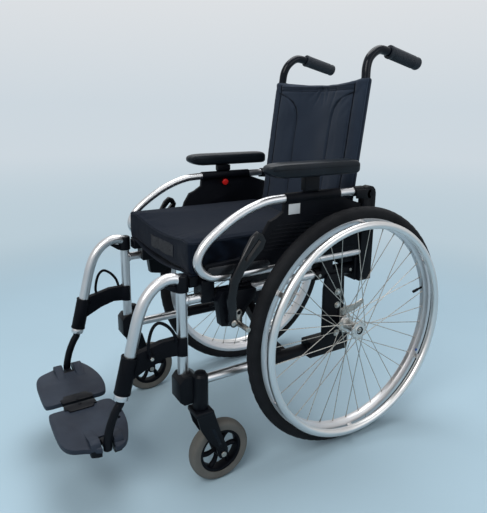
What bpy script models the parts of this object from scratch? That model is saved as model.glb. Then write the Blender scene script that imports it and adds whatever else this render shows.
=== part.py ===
"""Active folding wheelchair, built from named sub-parts in metres with +Z up and the front at -Y.

Positions are written from the rear axle: X across from the chair's middle plane, Y from the axle line and
Z from the floor. The empty "chair" then moves everything so that the world origin lies under the middle of
the chair's box. The left side is built and the right side is its mirror image.
"""

import math

import bmesh
import bpy
from mathutils import Matrix, Vector

# General
GAP = 0.0003              # between touching pieces
PLAY = 0.0005             # round a rail or pin that turns or slides
BOLT_RADIUS = 0.004
WHEEL_STEPS = 32          # facets round a rear wheel
CASTER_STEPS = 20

# Rear wheel
WHEEL_RADIUS = 0.305
WHEEL_X = 0.253           # middle plane of the tyre
TYRE_RADIUS = 0.017       # of the tyre's round section
RIM_HALF_WIDTH = 0.013
RIM_DEPTH = 0.020
HANDRIM_X = 0.289
HANDRIM_DROP = 0.039      # from the tread down to the handrim's middle circle
HANDRIM_TUBE = 0.0095
HANDRIM_TABS = 6
SPOKES = 36
SPOKE_RADIUS = 0.0011
HUB_RADIUS = 0.013
FLANGE_RADIUS = 0.024
FLANGE_THICKNESS = 0.004
HUB_INNER_X = 0.230
HUB_OUTER_X = 0.284
AXLE_RADIUS = 0.006
BUTTON_RADIUS = 0.0045
BUTTON_TRAVEL = 0.003

# Side frame
RAIL_X = 0.187            # plane of the posts and rails
RAIL_RADIUS = 0.011
POST_RADIUS = 0.012
POST_Y = -0.430
POST_BOTTOM = 0.198
UPPER_RAIL_Z = 0.434
UPPER_RAIL_END = 0.066
LOWER_RAIL_Z = 0.236
LOWER_RAIL_END = 0.010
CLAMP_WALL = 0.0045       # of the plastic round a rail

# Axle plate
PLATE_X = 0.2045
PLATE_THICKNESS = 0.009
PLATE_FRONT = -0.052
PLATE_REAR = 0.012
UPPER_CLAMP = (-0.076, 0.044)
LOWER_CLAMP = (-0.0915, 0.030)

# Back
BACK_TUBE_RADIUS = 0.011
BACK_FOOT = (0.180, 0.014, 0.457)
BACK_TOP = (0.175, 0.073, 0.905)
CANE_BLOCK_TOP = 0.498
HANDLE_X = 0.168
HANDLE_REACH = 0.150      # where the grip begins, behind the axle
HANDLE_HEIGHT = 0.976
GRIP_RADIUS = 0.0165
GRIP_END = (0.258, 0.949)
BRACKET_X = 0.208
BRACKET_HALF = 0.010
BRACKET_FRONT = 0.050
BRACKET_FOOT = 0.405
GUARD_PIVOT = (0.070, 0.630)
BLOCK_WALL = 0.006

# Seat
SEAT_TUBE_X = 0.176
SEAT_TUBE_Z = 0.472
SEAT_TUBE_RADIUS = 0.0125
SEAT_TUBE_FRONT = -0.412
SEAT_TUBE_REAR = -0.0042
SLING_THICKNESS = 0.004
CUSHION_THICKNESS = 0.070
CUSHION_HALF = 0.193
CUSHION_FRONT = -0.412
CUSHION_REAR = -0.006
CUSHION_SAG = 0.014
CRISPNESS = 0.45
CUSHION_LIFT = 0.0010     # over the sling at the sides
CUSHION_BELLY = 0.6       # how much of the sling's sag its underside follows

# Cross brace
ARM_HALF = 0.0125         # half the height of an arm's section
ARM_DEPTH = 0.022         # along Y
ARM_A_Y = -0.176
ARM_B_Y = -0.148
SLEEVE = (-0.250, -0.094)
BRACE_BOLT_RADIUS = 0.006

# Armrest and side guard
GUARD_X = 0.208
GUARD_TUBE_RADIUS = 0.010
PANEL_X = (0.2030, 0.2145)
BLADE_X = (0.2078, 0.2124)
ARM_POST_Y = (-0.133, -0.091)
ARM_POST_TOP = 0.684
PAD_X = (0.1955, 0.2415)
PAD_Y = (-0.245, 0.013)
PAD_Z = (0.686, 0.720)
ARMREST_DROP = 0.018      # the right armrest is set this much lower than the left
PAD_SLIDE = 0.020         # and its pad this much further back

# Brake
LEVER_X = 0.240
BRAKE_PIVOT = (-0.334, 0.384)
SHOE_PIVOT = (-0.312, 0.398)
SHOE_ROD = (-0.3115, 0.372)
SHOE_RADIUS = 0.006

# Caster
CASTER_X = 0.222
STEM_Y = -0.405
STEM_RADIUS = 0.006
HOUSING_RADIUS = 0.017
HOUSING_Z = (0.192, 0.276)
CASTER_RADIUS = 0.0726
CASTER_WIDTH = 0.030
CASTER_TRAIL = 0.044
FORK_INNER = 0.0175       # from the wheel's middle plane to a fork leg
FORK_THICKNESS = 0.006
CROWN_THICKNESS = 0.011

# Legrest
HANGER_X = 0.186
HANGER_RADIUS = 0.0125
HANGER_CAP_Z = (0.4565, 0.493)
CAP_RADIUS = 0.0155
BOOT_RADIUS = 0.0175
EXTENSION_RADIUS = 0.009
FLIP_X = 0.160
FLIP_Z = 0.146
FLIP_Y = -0.604
FOOT_THICKNESS = 0.012
FOOT_INNER = 0.016
FOOT_OUTER = 0.206
FOOT_AHEAD = 0.088        # of the plate, in front of its flip axis
FOOT_BEHIND = 0.066
HINGE_RADIUS = 0.0055
HINGE_LENGTH = 0.026


# Wheel and axle, worked out
HANDRIM_RADIUS = WHEEL_RADIUS - HANDRIM_DROP
RIM_RADIUS = WHEEL_RADIUS - TYRE_RADIUS - math.sqrt(TYRE_RADIUS**2 - RIM_HALF_WIDTH**2) - GAP
RIM_INNER = RIM_RADIUS - RIM_DEPTH
FACET_SHARE = math.cos(math.pi / WHEEL_STEPS)     # a facet's middle lies this much nearer the axle
AXLE_END = HUB_OUTER_X - 0.004

# Armrest details
BLADE_BOTTOM = 0.556
ARMREST_BUTTON = (-0.109, 0.617)
ARMREST_BUTTON_RADIUS = 0.009
BUTTON_RECESS = 0.0033
ARMREST_BUTTON_TRAVEL = 0.0015

# Brake mount
BRAKE_PLATE_X = (0.2000, 0.2220)
BRAKE_SLEEVE = (-0.362, -0.262)

# Caster details
STEM_TOP = 0.262
CROWN_TOP = HOUSING_Z[0] - 0.0006
CASTER_RIM_RADIUS = 0.052

# Hanger details
HANGER_TOP = Vector((-0.535, 0.386))        # where the straight lower part of the hanger begins
HANGER_DOWN = Vector((-0.246, -0.969)).normalized()
BOOT = (0.052, 0.132)                       # along the straight part
HANGER_END = 0.146
EXTENSION_START = 0.062
EXTENSION_EXIT = 0.156
BRACKET_ARM_X = (0.1780, 0.1940)
SADDLE_Z = (0.312, 0.354)
RELEASE_PIVOT = (-0.506, 0.326)
RELEASE_X = 0.1985

# Footplate, worked out
FOOT_FRONT = FLIP_Y - FOOT_AHEAD
FOOT_REAR = FLIP_Y + FOOT_BEHIND

# Seat and brace, worked out
SLING_Z = SEAT_TUBE_Z + SEAT_TUBE_RADIUS + GAP
BRACE_Z = LOWER_RAIL_Z + (SEAT_TUBE_Z - LOWER_RAIL_Z) * RAIL_X / (RAIL_X + SEAT_TUBE_X)

# Back upholstery
BACK_HALF = 0.193
BACK_Z = (0.502, 0.906)
BACK_FACE = 0.057         # how far behind the axle the cloth's front lies at the top, at its sides
BACK_SIDE_DEPTH = 0.030
BACK_MIDDLE_DEPTH = 0.020
BACK_SAG = 0.018          # how far the middle hangs back
BACK_LEAN = (BACK_TOP[1] - BACK_FOOT[1]) / (BACK_TOP[2] - BACK_FOOT[2])
CHANNEL = 0.45            # a sewn channel's place, as a share of the half width

# Whole chair
CHAIR_Y = (-FOOT_FRONT - WHEEL_RADIUS) / 2
AXLE = Vector((WHEEL_X, 0, WHEEL_RADIUS))
CASTER_AXLE = Vector((CASTER_X, STEM_Y + CASTER_TRAIL, CASTER_RADIUS))

for old in list(bpy.data.objects):
    bpy.data.objects.remove(old, do_unlink=True)

parts = bpy.data.collections.new("active_wheelchair")
bpy.context.scene.collection.children.link(parts)
cutters = bpy.data.collections.new("cutters")
bpy.context.scene.collection.children.link(cutters)


def material(name, colour, roughness, metallic=0.0):
    made = bpy.data.materials.new(name)
    made.use_nodes = True
    shader = made.node_tree.nodes["Principled BSDF"]
    shader.inputs["Base Color"].default_value = (*colour, 1)
    shader.inputs["Roughness"].default_value = roughness
    shader.inputs["Metallic"].default_value = metallic
    return made


SILVER = material("satin_silver", (0.62, 0.63, 0.65), 0.32, 1.0)
BRIGHT = material("bright_aluminium", (0.78, 0.79, 0.80), 0.2, 1.0)
STEEL = material("spoke_steel", (0.72, 0.72, 0.73), 0.25, 1.0)
GLOSS_BLACK = material("gloss_black_tube", (0.012, 0.013, 0.015), 0.2)
BLACK = material("black_plastic", (0.016, 0.017, 0.02), 0.45)
PAD_BLACK = material("armrest_foam", (0.014, 0.016, 0.02), 0.55)
GRIP_BLACK = material("grip_rubber", (0.03, 0.032, 0.036), 0.7)
TYRE_BLACK = material("tyre_rubber", (0.018, 0.018, 0.02), 0.75)
TYRE_GREY = material("caster_rubber", (0.17, 0.17, 0.17), 0.7)
FOOT_GREY = material("footplate_plastic", (0.045, 0.055, 0.07), 0.6)
BACK_CLOTH = material("back_fabric", (0.03, 0.036, 0.05), 0.85)
SEAT_CLOTH = material("seat_fabric", (0.012, 0.013, 0.016), 0.85)
RED = material("red_plastic", (0.55, 0.02, 0.02), 0.35)


def new_mesh(name, body):
    mesh = bpy.data.meshes.new(name)
    body.to_mesh(mesh)
    body.free()
    obj = bpy.data.objects.new(name, mesh)
    parts.objects.link(obj)
    return obj


def baked(obj):
    """The object's evaluated shape as a plain mesh object in chair coordinates."""
    bpy.context.view_layer.update()
    graph = bpy.context.evaluated_depsgraph_get()
    mesh = bpy.data.meshes.new_from_object(obj.evaluated_get(graph))
    mesh.transform(obj.matrix_world)
    body = bmesh.new()
    body.from_mesh(mesh)
    bmesh.ops.remove_doubles(body, verts=body.verts, dist=1e-6)
    body.to_mesh(mesh)
    body.free()
    name = obj.name
    old = obj.data
    bpy.data.objects.remove(obj, do_unlink=True)
    if old.users == 0:
        (bpy.data.curves if isinstance(old, bpy.types.Curve) else bpy.data.meshes).remove(old)
    mesh.name = name
    made = bpy.data.objects.new(name, mesh)
    parts.objects.link(made)
    return made


def box(low, high, bevel=0.0, segments=2, turn=None):
    """A block between two corners, turned about its own middle by a matrix."""
    low = Vector(low)
    high = Vector(high)
    body = bmesh.new()
    bmesh.ops.create_cube(body, size=1.0)
    bmesh.ops.scale(body, vec=high - low, verts=body.verts)
    if bevel:
        bmesh.ops.bevel(body, geom=body.edges[:], offset=bevel, segments=segments, affect="EDGES")
    place = Matrix.Translation((low + high) / 2) @ (turn or Matrix())
    bmesh.ops.transform(body, matrix=place, verts=body.verts)
    return new_mesh("box", body)


def rod(start, end, radius, sides=12, end_radius=None):
    """A cylinder, or a cone, from one point to another."""
    start = Vector(start)
    end = Vector(end)
    body = bmesh.new()
    bmesh.ops.create_cone(
        body, cap_ends=True, segments=sides, radius1=radius,
        radius2=radius if end_radius is None else end_radius, depth=(end - start).length,
    )
    turn = (end - start).to_track_quat("Z", "X").to_matrix().to_4x4()
    bmesh.ops.transform(body, matrix=Matrix.Translation((start + end) / 2) @ turn, verts=body.verts)
    return new_mesh("rod", body)


def tube(points, radius, resolution=2):
    """A round bar along a path, made from a bevelled curve."""
    curve = bpy.data.curves.new("tube", "CURVE")
    curve.dimensions = "3D"
    curve.bevel_depth = radius
    curve.bevel_resolution = resolution
    curve.use_fill_caps = True
    spline = curve.splines.new("POLY")
    spline.points.add(len(points) - 1)
    for spot, place in zip(spline.points, points):
        spot.co = (*place, 1)
    obj = bpy.data.objects.new("tube", curve)
    parts.objects.link(obj)
    return baked(obj)


def slab(outline, low, high, axis="X", bevel=0.0):
    """A flat outline, extruded between two values of an axis. The outline gives the other two axes in order."""
    curve = bpy.data.curves.new("slab", "CURVE")
    curve.dimensions = "2D"
    curve.fill_mode = "BOTH"
    curve.extrude = (high - low) / 2
    spline = curve.splines.new("POLY")
    spline.points.add(len(outline) - 1)
    for spot, (u, v) in zip(spline.points, outline):
        spot.co = (u, v, 0, 1)
    spline.use_cyclic_u = True
    obj = bpy.data.objects.new("slab", curve)
    parts.objects.link(obj)
    middle = (low + high) / 2
    columns = {
        "X": ((0, 1, 0), (0, 0, 1), (1, 0, 0), (middle, 0, 0)),
        "Y": ((1, 0, 0), (0, 0, 1), (0, -1, 0), (0, middle, 0)),
        "Z": ((1, 0, 0), (0, 1, 0), (0, 0, 1), (0, 0, middle)),
    }[axis]
    obj.matrix_world = Matrix([Vector(c) for c in columns[:3]]).transposed().to_4x4()
    obj.matrix_world.translation = columns[3]
    made = baked(obj)
    if bevel:
        edge = made.modifiers.new("edge", "BEVEL")
        edge.width = bevel
        edge.segments = 1
        edge.limit_method = "ANGLE"
        made = baked(made)
    return made


def turned(profile, centre, axis="X", steps=32):
    """A profile of (distance from the axis, place along it) turned about an axis through the centre."""
    body = bmesh.new()
    spots = [body.verts.new((r, 0, s)) for r, s in profile]
    for first, second in zip(spots, spots[1:] + spots[:1]):
        body.edges.new((first, second))
    obj = new_mesh("turned", body)
    screw = obj.modifiers.new("turn", "SCREW")
    screw.steps = steps
    screw.render_steps = steps
    screw.use_merge_vertices = True
    screw.merge_threshold = 0.00001
    screw.use_normal_calculate = True
    turn = Matrix() if axis == "Z" else Matrix.Rotation(math.pi / 2, 4, "Y")
    obj.matrix_world = Matrix.Translation(centre) @ turn
    made = baked(obj)
    body = bmesh.new()
    body.from_mesh(made.data)
    bmesh.ops.recalc_face_normals(body, faces=body.faces)
    if body.calc_volume(signed=True) < 0:
        bmesh.ops.reverse_faces(body, faces=body.faces)
    body.to_mesh(made.data)
    body.free()
    return made


def combined(base, others, operation):
    for other in others:
        cut = base.modifiers.new("join", "BOOLEAN")
        cut.operation = operation
        cut.object = other
        base = baked(base)
        bpy.data.objects.remove(other, do_unlink=True)
    return base


def union(base, *others):
    return combined(base, others, "UNION")


def cut(base, *others):
    return combined(base, others, "DIFFERENCE")


def arc(centre, radius, start, end, steps):
    """Points of an arc in a plane, with angles in degrees."""
    return [
        (
            centre[0] + radius * math.cos(math.radians(start + (end - start) * i / steps)),
            centre[1] + radius * math.sin(math.radians(start + (end - start) * i / steps)),
        )
        for i in range(steps + 1)
    ]


bodies = {}


def add_body(name, parent, pivot):
    """An empty on a body's joint, under the empty of the body that carries it."""
    empty = bpy.data.objects.new("body_" + name, None)
    empty.empty_display_size = 0.02
    parts.objects.link(empty)
    bodies[name] = (empty, Vector(pivot))
    if parent:
        carrier, at = bodies[parent]
        empty.parent = carrier
        empty.location = Vector(pivot) - at
    else:
        empty.location = pivot


def finish(obj, name, body, finish_material):
    """Names the piece, puts its origin on its body's joint and hangs it under the body's empty."""
    empty, pivot = bodies[body]
    obj.name = name
    obj.data.name = name
    obj.data.transform(Matrix.Translation(-pivot))
    obj.parent = empty
    obj.data.materials.clear()
    obj.data.materials.append(finish_material)
    obj.data.shade_smooth()
    obj.data.set_sharp_from_angle(angle=math.radians(35))


def mirrored(obj):
    twin = obj.copy()
    twin.data = obj.data.copy()
    body = bmesh.new()
    body.from_mesh(twin.data)
    bmesh.ops.scale(body, vec=(-1, 1, 1), verts=body.verts)
    bmesh.ops.reverse_faces(body, faces=body.faces)
    body.to_mesh(twin.data)
    body.free()
    parts.objects.link(twin)
    return twin


def to_right(obj):
    twin = mirrored(obj)
    bpy.data.objects.remove(obj, do_unlink=True)
    return twin


def both_sides(obj, name, body, finish_material):
    twin = mirrored(obj)
    finish(obj, name + "_left", body + "_left", finish_material)
    finish(twin, name + "_right", body + "_right", finish_material)


def smooth(points, steps=3):
    """Points of a Catmull-Rom curve through the given ones."""
    points = [Vector(p) for p in points]
    ends = [2 * points[0] - points[1]] + points + [2 * points[-1] - points[-2]]
    path = []
    for a, b, c, d in zip(ends, ends[1:], ends[2:], ends[3:]):
        for i in range(steps):
            t = i / steps
            path.append(0.5 * (2 * b + (c - a) * t + (2 * a - 5 * b + 4 * c - d) * t**2 + (3 * b - a - 3 * c + d) * t**3))
    path.append(points[-1])
    return path


def in_plane(x, points):
    return [(x, y, z) for y, z in points]


def about_axle(obj, degrees):
    """Turns a piece about the rear axle."""
    there = Matrix.Translation(AXLE)
    obj.data.transform(there @ Matrix.Rotation(math.radians(degrees), 4, "X") @ there.inverted())
    return obj


def build_tyre():
    bead = math.degrees(math.acos(RIM_HALF_WIDTH / TYRE_RADIUS))
    section = arc((0, WHEEL_RADIUS - TYRE_RADIUS), TYRE_RADIUS, -bead, 180 + bead, 7)
    return turned([(r, s) for s, r in section], AXLE, steps=WHEEL_STEPS)


def build_rim():
    side = RIM_HALF_WIDTH
    foot = side * 0.55
    shoulder = RIM_RADIUS - 0.0075
    half = [(RIM_RADIUS, side), (shoulder, side), (RIM_INNER, foot)]
    return turned(half + [(r, -s) for r, s in reversed(half)], AXLE, steps=WHEEL_STEPS)


def build_hub():
    bore = AXLE_RADIUS + PLAY
    inner = HUB_INNER_X - WHEEL_X
    outer = HUB_OUTER_X - WHEEL_X
    rim_step = 0.002
    recess = 0.010
    profile = [
        (bore, inner), (HUB_RADIUS, inner), (HUB_RADIUS, inner + rim_step), (FLANGE_RADIUS, inner + rim_step),
        (FLANGE_RADIUS, inner + rim_step + FLANGE_THICKNESS), (HUB_RADIUS, inner + rim_step + FLANGE_THICKNESS),
        (HUB_RADIUS, outer - rim_step - FLANGE_THICKNESS), (FLANGE_RADIUS, outer - rim_step - FLANGE_THICKNESS),
        (FLANGE_RADIUS, outer - rim_step), (HUB_RADIUS, outer), (recess, outer), (recess, outer - 0.006),
        (bore, outer - 0.006),
    ]
    hub = turned(profile, AXLE, steps=12)
    spokes = bmesh.new()
    per_flange = SPOKES // 2
    pitch = 360 / per_flange
    crossings = 3
    for flange_x, shift in (
        (HUB_INNER_X + rim_step + FLANGE_THICKNESS / 2, 0),
        (HUB_OUTER_X - rim_step - FLANGE_THICKNESS / 2, pitch / 2),
    ):
        for k in range(per_flange):
            lean = 1 if k % 2 else -1
            start = math.radians(pitch * k + shift)
            end = math.radians(pitch * (k + lean * crossings) + shift)
            near = AXLE + Vector((flange_x - WHEEL_X + lean * 0.0015, 0, 0))
            near += Vector((0, math.cos(start), math.sin(start))) * (FLANGE_RADIUS - 0.004)
            far = AXLE + Vector((0, math.cos(end), math.sin(end))) * (RIM_INNER * FACET_SHARE - GAP)
            spoke = rod(near, far, SPOKE_RADIUS, 3)
            spokes.from_mesh(spoke.data)
            bpy.data.objects.remove(spoke, do_unlink=True)
    return union(hub, new_mesh("spokes", spokes))


def build_handrim():
    section = arc((HANDRIM_X - WHEEL_X, HANDRIM_RADIUS), HANDRIM_TUBE, 0, 360, 6)[:-1]
    ring = turned([(r, s) for s, r in section], AXLE, steps=WHEEL_STEPS)
    tabs = []
    for k in range(HANDRIM_TABS):
        low = (WHEEL_X + RIM_HALF_WIDTH + GAP, -0.007, WHEEL_RADIUS + HANDRIM_RADIUS + 0.0005)
        high = (HANDRIM_X - 0.003, 0.007, WHEEL_RADIUS + HANDRIM_RADIUS + 0.0075)
        tabs.append(about_axle(box(low, high), 360 / HANDRIM_TABS * (k + 0.5)))
    return union(ring, *tabs)


def build_axle_button():
    back = AXLE_END - 0.008 + BUTTON_TRAVEL + GAP
    return rod((back, 0, WHEEL_RADIUS), (HUB_OUTER_X + 0.001, 0, WHEEL_RADIUS), BUTTON_RADIUS - PLAY, 12)


def build_side_frame():
    post = rod((RAIL_X, POST_Y, POST_BOTTOM), (RAIL_X, POST_Y, HANGER_CAP_Z[0] - PLAY), POST_RADIUS, 12)
    upper = rod((RAIL_X, POST_Y, UPPER_RAIL_Z), (RAIL_X, UPPER_RAIL_END, UPPER_RAIL_Z), RAIL_RADIUS, 12)
    lower = rod((RAIL_X, POST_Y, LOWER_RAIL_Z), (RAIL_X, LOWER_RAIL_END, LOWER_RAIL_Z), RAIL_RADIUS, 12)
    return union(post, upper, lower)


def rail_cut(z, front, rear):
    return rod((RAIL_X, front, z), (RAIL_X, rear, z), RAIL_RADIUS + GAP, 12)


def rail_wrap(z, front, rear):
    return rod((RAIL_X, front, z), (RAIL_X, rear, z), RAIL_RADIUS + GAP + CLAMP_WALL, 12)


def cradle(front, rear):
    """The block that the seat tube rests in, open at the top so that the tube lifts out as the chair folds."""
    half = SEAT_TUBE_RADIUS + 0.0045
    block = box(
        (SEAT_TUBE_X - half, front, UPPER_RAIL_Z - 0.010), (RAIL_X + 0.015, rear, SEAT_TUBE_Z + 0.003), 0.002, 1
    )
    bed = rod(
        (SEAT_TUBE_X, front - 0.01, SEAT_TUBE_Z), (SEAT_TUBE_X, rear + 0.01, SEAT_TUBE_Z),
        SEAT_TUBE_RADIUS + PLAY, 12,
    )
    mouth = box(
        (SEAT_TUBE_X - SEAT_TUBE_RADIUS - PLAY, front - 0.01, SEAT_TUBE_Z),
        (SEAT_TUBE_X + SEAT_TUBE_RADIUS + PLAY, rear + 0.01, SEAT_TUBE_Z + 0.02),
    )
    return cut(block, bed, mouth)


def build_axle_plate():
    low_x = PLATE_X - PLATE_THICKNESS / 2
    high_x = PLATE_X + PLATE_THICKNESS / 2
    outline = [
        (PLATE_FRONT, LOWER_RAIL_Z), (PLATE_REAR + 0.006, LOWER_RAIL_Z), (PLATE_REAR + 0.012, WHEEL_RADIUS - 0.012),
        (PLATE_REAR + 0.012, WHEEL_RADIUS + 0.012), (PLATE_REAR, WHEEL_RADIUS + 0.035), (PLATE_REAR - 0.004, UPPER_RAIL_Z),
        (PLATE_FRONT + 0.004, UPPER_RAIL_Z), (PLATE_FRONT - 0.002, WHEEL_RADIUS + 0.09),
    ]
    plate = slab(outline, low_x, high_x)
    upper = rail_wrap(UPPER_RAIL_Z, *UPPER_CLAMP)
    lower = box(
        (RAIL_X - RAIL_RADIUS - 0.005, LOWER_CLAMP[0], LOWER_RAIL_Z - 0.0155),
        (high_x, LOWER_CLAMP[1], LOWER_RAIL_Z + 0.026),
    )
    saddle = cradle(-0.060, -0.024)
    nut = rod((PLATE_X, 0, WHEEL_RADIUS), (HUB_INNER_X - 0.001, 0, WHEEL_RADIUS), 0.0115, 6)
    axle = rod((PLATE_X, 0, WHEEL_RADIUS), (AXLE_END, 0, WHEEL_RADIUS), AXLE_RADIUS, 12)
    whole = union(plate, upper, lower, saddle, nut, axle)
    button_bore = rod((AXLE_END - 0.008, 0, WHEEL_RADIUS), (AXLE_END + 0.01, 0, WHEEL_RADIUS), BUTTON_RADIUS, 12)
    return cut(
        whole, rail_cut(UPPER_RAIL_Z, UPPER_CLAMP[0] - 0.01, UPPER_CLAMP[1] + 0.01),
        rail_cut(LOWER_RAIL_Z, LOWER_CLAMP[0] - 0.01, LOWER_RAIL_END + 0.001), button_bore,
    )


def handle_path():
    foot = Vector(BACK_FOOT)
    top = Vector(BACK_TOP)
    bend = [
        top, (HANDLE_X + 0.004, 0.0770, HANDLE_HEIGHT - 0.040), (HANDLE_X + 0.001, 0.090, HANDLE_HEIGHT - 0.017),
        (HANDLE_X, 0.117, HANDLE_HEIGHT), (HANDLE_X, HANDLE_REACH, HANDLE_HEIGHT - 0.002),
    ]
    start = Vector(bend[-1])
    end = Vector((HANDLE_X, *GRIP_END))
    return [foot] + smooth(bend) + [start.lerp(end, 0.9)], start, end


def build_back_tube():
    return tube(handle_path()[0], BACK_TUBE_RADIUS, 2)


def build_push_grip():
    path, start, end = handle_path()
    along = (end - start).normalized()
    grip = rod(start, end - along * 0.004, GRIP_RADIUS, 12)
    nose = rod(end - along * 0.006, end, GRIP_RADIUS * 0.96, 12, GRIP_RADIUS * 0.8)
    collar = rod(start + along * 0.0015, start + along * 0.009, GRIP_RADIUS + 0.0015, 12)
    bore = rod(start - along * 0.02, start.lerp(end, 0.9) + along * PLAY, BACK_TUBE_RADIUS + PLAY, 12)
    return cut(union(grip, nose, collar), bore)


def build_back_bracket():
    pivot_y, pivot_z = GUARD_PIVOT
    half = pivot_y - BRACKET_FRONT
    low = UPPER_RAIL_Z - RAIL_RADIUS - 0.006
    outline = [(pivot_y - half, BRACKET_FOOT), (pivot_y + half, BRACKET_FOOT)]
    outline += arc(GUARD_PIVOT, half, 0, 180, 6)
    upright = slab(outline, BRACKET_X - BRACKET_HALF, BRACKET_X + BRACKET_HALF)
    foot_x, foot_y, foot_z = BACK_FOOT
    side = foot_x - BACK_TUBE_RADIUS - BLOCK_WALL
    socket = box(
        (side, UPPER_CLAMP[1] + GAP, BRACKET_FOOT - 0.001), (BRACKET_X, UPPER_RAIL_END + 0.010, UPPER_RAIL_Z + 0.036),
        0.003, 1,
    )
    cane_block = box(
        (side, SEAT_TUBE_REAR + 0.0047, foot_z - 0.005),
        (BRACKET_X - 0.0115, UPPER_RAIL_END - 0.006, CANE_BLOCK_TOP), 0.002, 1,
    )
    along = (Vector(BACK_TOP) - Vector(BACK_FOOT)).normalized()
    tube_cut = rod(
        Vector(BACK_FOOT) - along * 0.03, Vector(BACK_FOOT) + along * 0.1, BACK_TUBE_RADIUS + GAP, 20
    )
    pin_cut = rod((BRACKET_X - 0.008, *GUARD_PIVOT), (BRACKET_X + 0.03, *GUARD_PIVOT), BOLT_RADIUS + PLAY, 12)
    rail_end = rail_cut(UPPER_RAIL_Z, UPPER_CLAMP[1] - 0.01, UPPER_RAIL_END + GAP)
    return cut(union(upright, socket, cane_block), tube_cut, pin_cut, rail_end)


def guard_path():
    """The side guard's tube, from its rear lower end round the nose and back to the hinge."""
    rear = BRACKET_FRONT - GAP
    nose = [
        (-0.340, 0.480), (-0.372, 0.485), (-0.395, 0.502), (-0.401, 0.526), (-0.383, 0.557), (-0.340, 0.590),
        (-0.290, 0.617), (-0.236, 0.634), (-0.184, 0.638),
    ]
    return in_plane(GUARD_X, [(rear, 0.482)]) + smooth(in_plane(GUARD_X, nose), 2) + in_plane(GUARD_X, [(rear, 0.638)])


def blade_slot(low, high):
    return box(
        (BLADE_X[0] - PLAY, ARM_POST_Y[0] - PLAY, low), (BLADE_X[1] + PLAY, ARM_POST_Y[1] + PLAY, high)
    )


def build_guard_tube():
    bar = tube(guard_path(), GUARD_TUBE_RADIUS, 1)
    eye_x = BRACKET_X + BRACKET_HALF + GAP
    eye = rod((eye_x, *GUARD_PIVOT), (eye_x + 0.004, *GUARD_PIVOT), 0.013, 12)
    ferrule = rod(
        (GUARD_X, 0.020, 0.638), (GUARD_X, BRACKET_FRONT - GAP, 0.638), GUARD_TUBE_RADIUS + 0.0025, 20
    )
    strap = box((eye_x, 0.022, GUARD_PIVOT[1] - 0.010), (eye_x + 0.004, GUARD_PIVOT[0], GUARD_PIVOT[1] + 0.013))
    pin = rod((BRACKET_X - 0.006, *GUARD_PIVOT), (eye_x + 0.002, *GUARD_PIVOT), BOLT_RADIUS, 12)
    return cut(union(bar, ferrule, strap, eye, pin), blade_slot(0.6, 0.7))


def build_guard_panel():
    outline = [
        (0.044, 0.489), (0.044, 0.608), (0.012, 0.618), (-0.026, 0.632), (-0.026, 0.640), (-0.184, 0.640), (-0.187, 0.609),
        (-0.208, 0.596), (-0.224, 0.590), (-0.240, 0.565), (-0.254, 0.526), (-0.310, 0.515), (-0.386, 0.512),
        (-0.390, 0.500), (-0.372, 0.485), (-0.340, 0.480),
    ]
    sheet = slab(outline, *PANEL_X)
    cover = rod((GUARD_X, -0.184, 0.638), (GUARD_X, -0.026, 0.638), GUARD_TUBE_RADIUS + GAP + 0.002, 12)
    recess = rod(
        (PANEL_X[0] - 0.01, *ARMREST_BUTTON), (PANEL_X[0] + BUTTON_RECESS, *ARMREST_BUTTON),
        ARMREST_BUTTON_RADIUS + PLAY, 12,
    )
    tube_cut = tube(
        [(GUARD_X, BRACKET_FRONT + 0.02, 0.482)] + guard_path()[1:-1] + [(GUARD_X, BRACKET_FRONT + 0.02, 0.638)],
        GUARD_TUBE_RADIUS + GAP, 1,
    )
    return cut(union(sheet, cover), tube_cut, blade_slot(BLADE_BOTTOM - ARMREST_DROP - 0.006, 0.7), recess)


def build_armrest_post(drop):
    blade = box((BLADE_X[0], ARM_POST_Y[0], BLADE_BOTTOM - drop), (BLADE_X[1], ARM_POST_Y[1], ARM_POST_TOP - drop))
    head = box(
        (GUARD_X - 0.008, ARM_POST_Y[0], 0.6515), (GUARD_X + 0.010, ARM_POST_Y[1], PAD_Z[0] - drop - GAP), 0.0015, 1
    )
    return union(blade, head)


def build_armrest_pad(drop, slide):
    front, rear = (y + slide for y in PAD_Y)
    low, high = (z - drop for z in PAD_Z)
    outline = [
        (front, high - 0.013), (front + 0.008, high - 0.004), (front + 0.045, high), (rear - 0.012, high),
        (rear, high - 0.010), (rear, low + 0.008), (rear - 0.008, low), (front + 0.034, low), (front + 0.001, high - 0.019),
    ]
    return slab(outline, *PAD_X, bevel=0.006)


def build_armrest_button():
    inner = PANEL_X[0] - 0.0065
    outer = PANEL_X[0] + BUTTON_RECESS - ARMREST_BUTTON_TRAVEL - GAP
    return rod((inner, *ARMREST_BUTTON), (outer, *ARMREST_BUTTON), ARMREST_BUTTON_RADIUS, 12)


def build_brake_mount():
    outline = [
        (-0.352, 0.372), (-0.322, 0.366), (-0.298, 0.384), (-0.284, 0.408), (-0.265, 0.424), (-0.264, 0.444),
        (-0.350, 0.451), (-0.360, 0.430),
    ]
    plate = slab(outline, *BRAKE_PLATE_X)
    pins = [
        rod((BRAKE_PLATE_X[1] - 0.004, *at), (BRAKE_PLATE_X[1] + length, *at), BOLT_RADIUS, 12)
        for at, length in ((BRAKE_PIVOT, 0.020), (SHOE_PIVOT, 0.008))
    ]
    whole = union(plate, rail_wrap(UPPER_RAIL_Z, *BRAKE_SLEEVE), cradle(-0.389, BRAKE_SLEEVE[0] + 0.004), *pins)
    return cut(whole, rail_cut(UPPER_RAIL_Z, -0.40, BRAKE_SLEEVE[1] + 0.01))


def pin_hole(at):
    return rod((BRAKE_PLATE_X[1] - 0.01, *at), (LEVER_X + 0.03, *at), BOLT_RADIUS + PLAY, 12)


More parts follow.
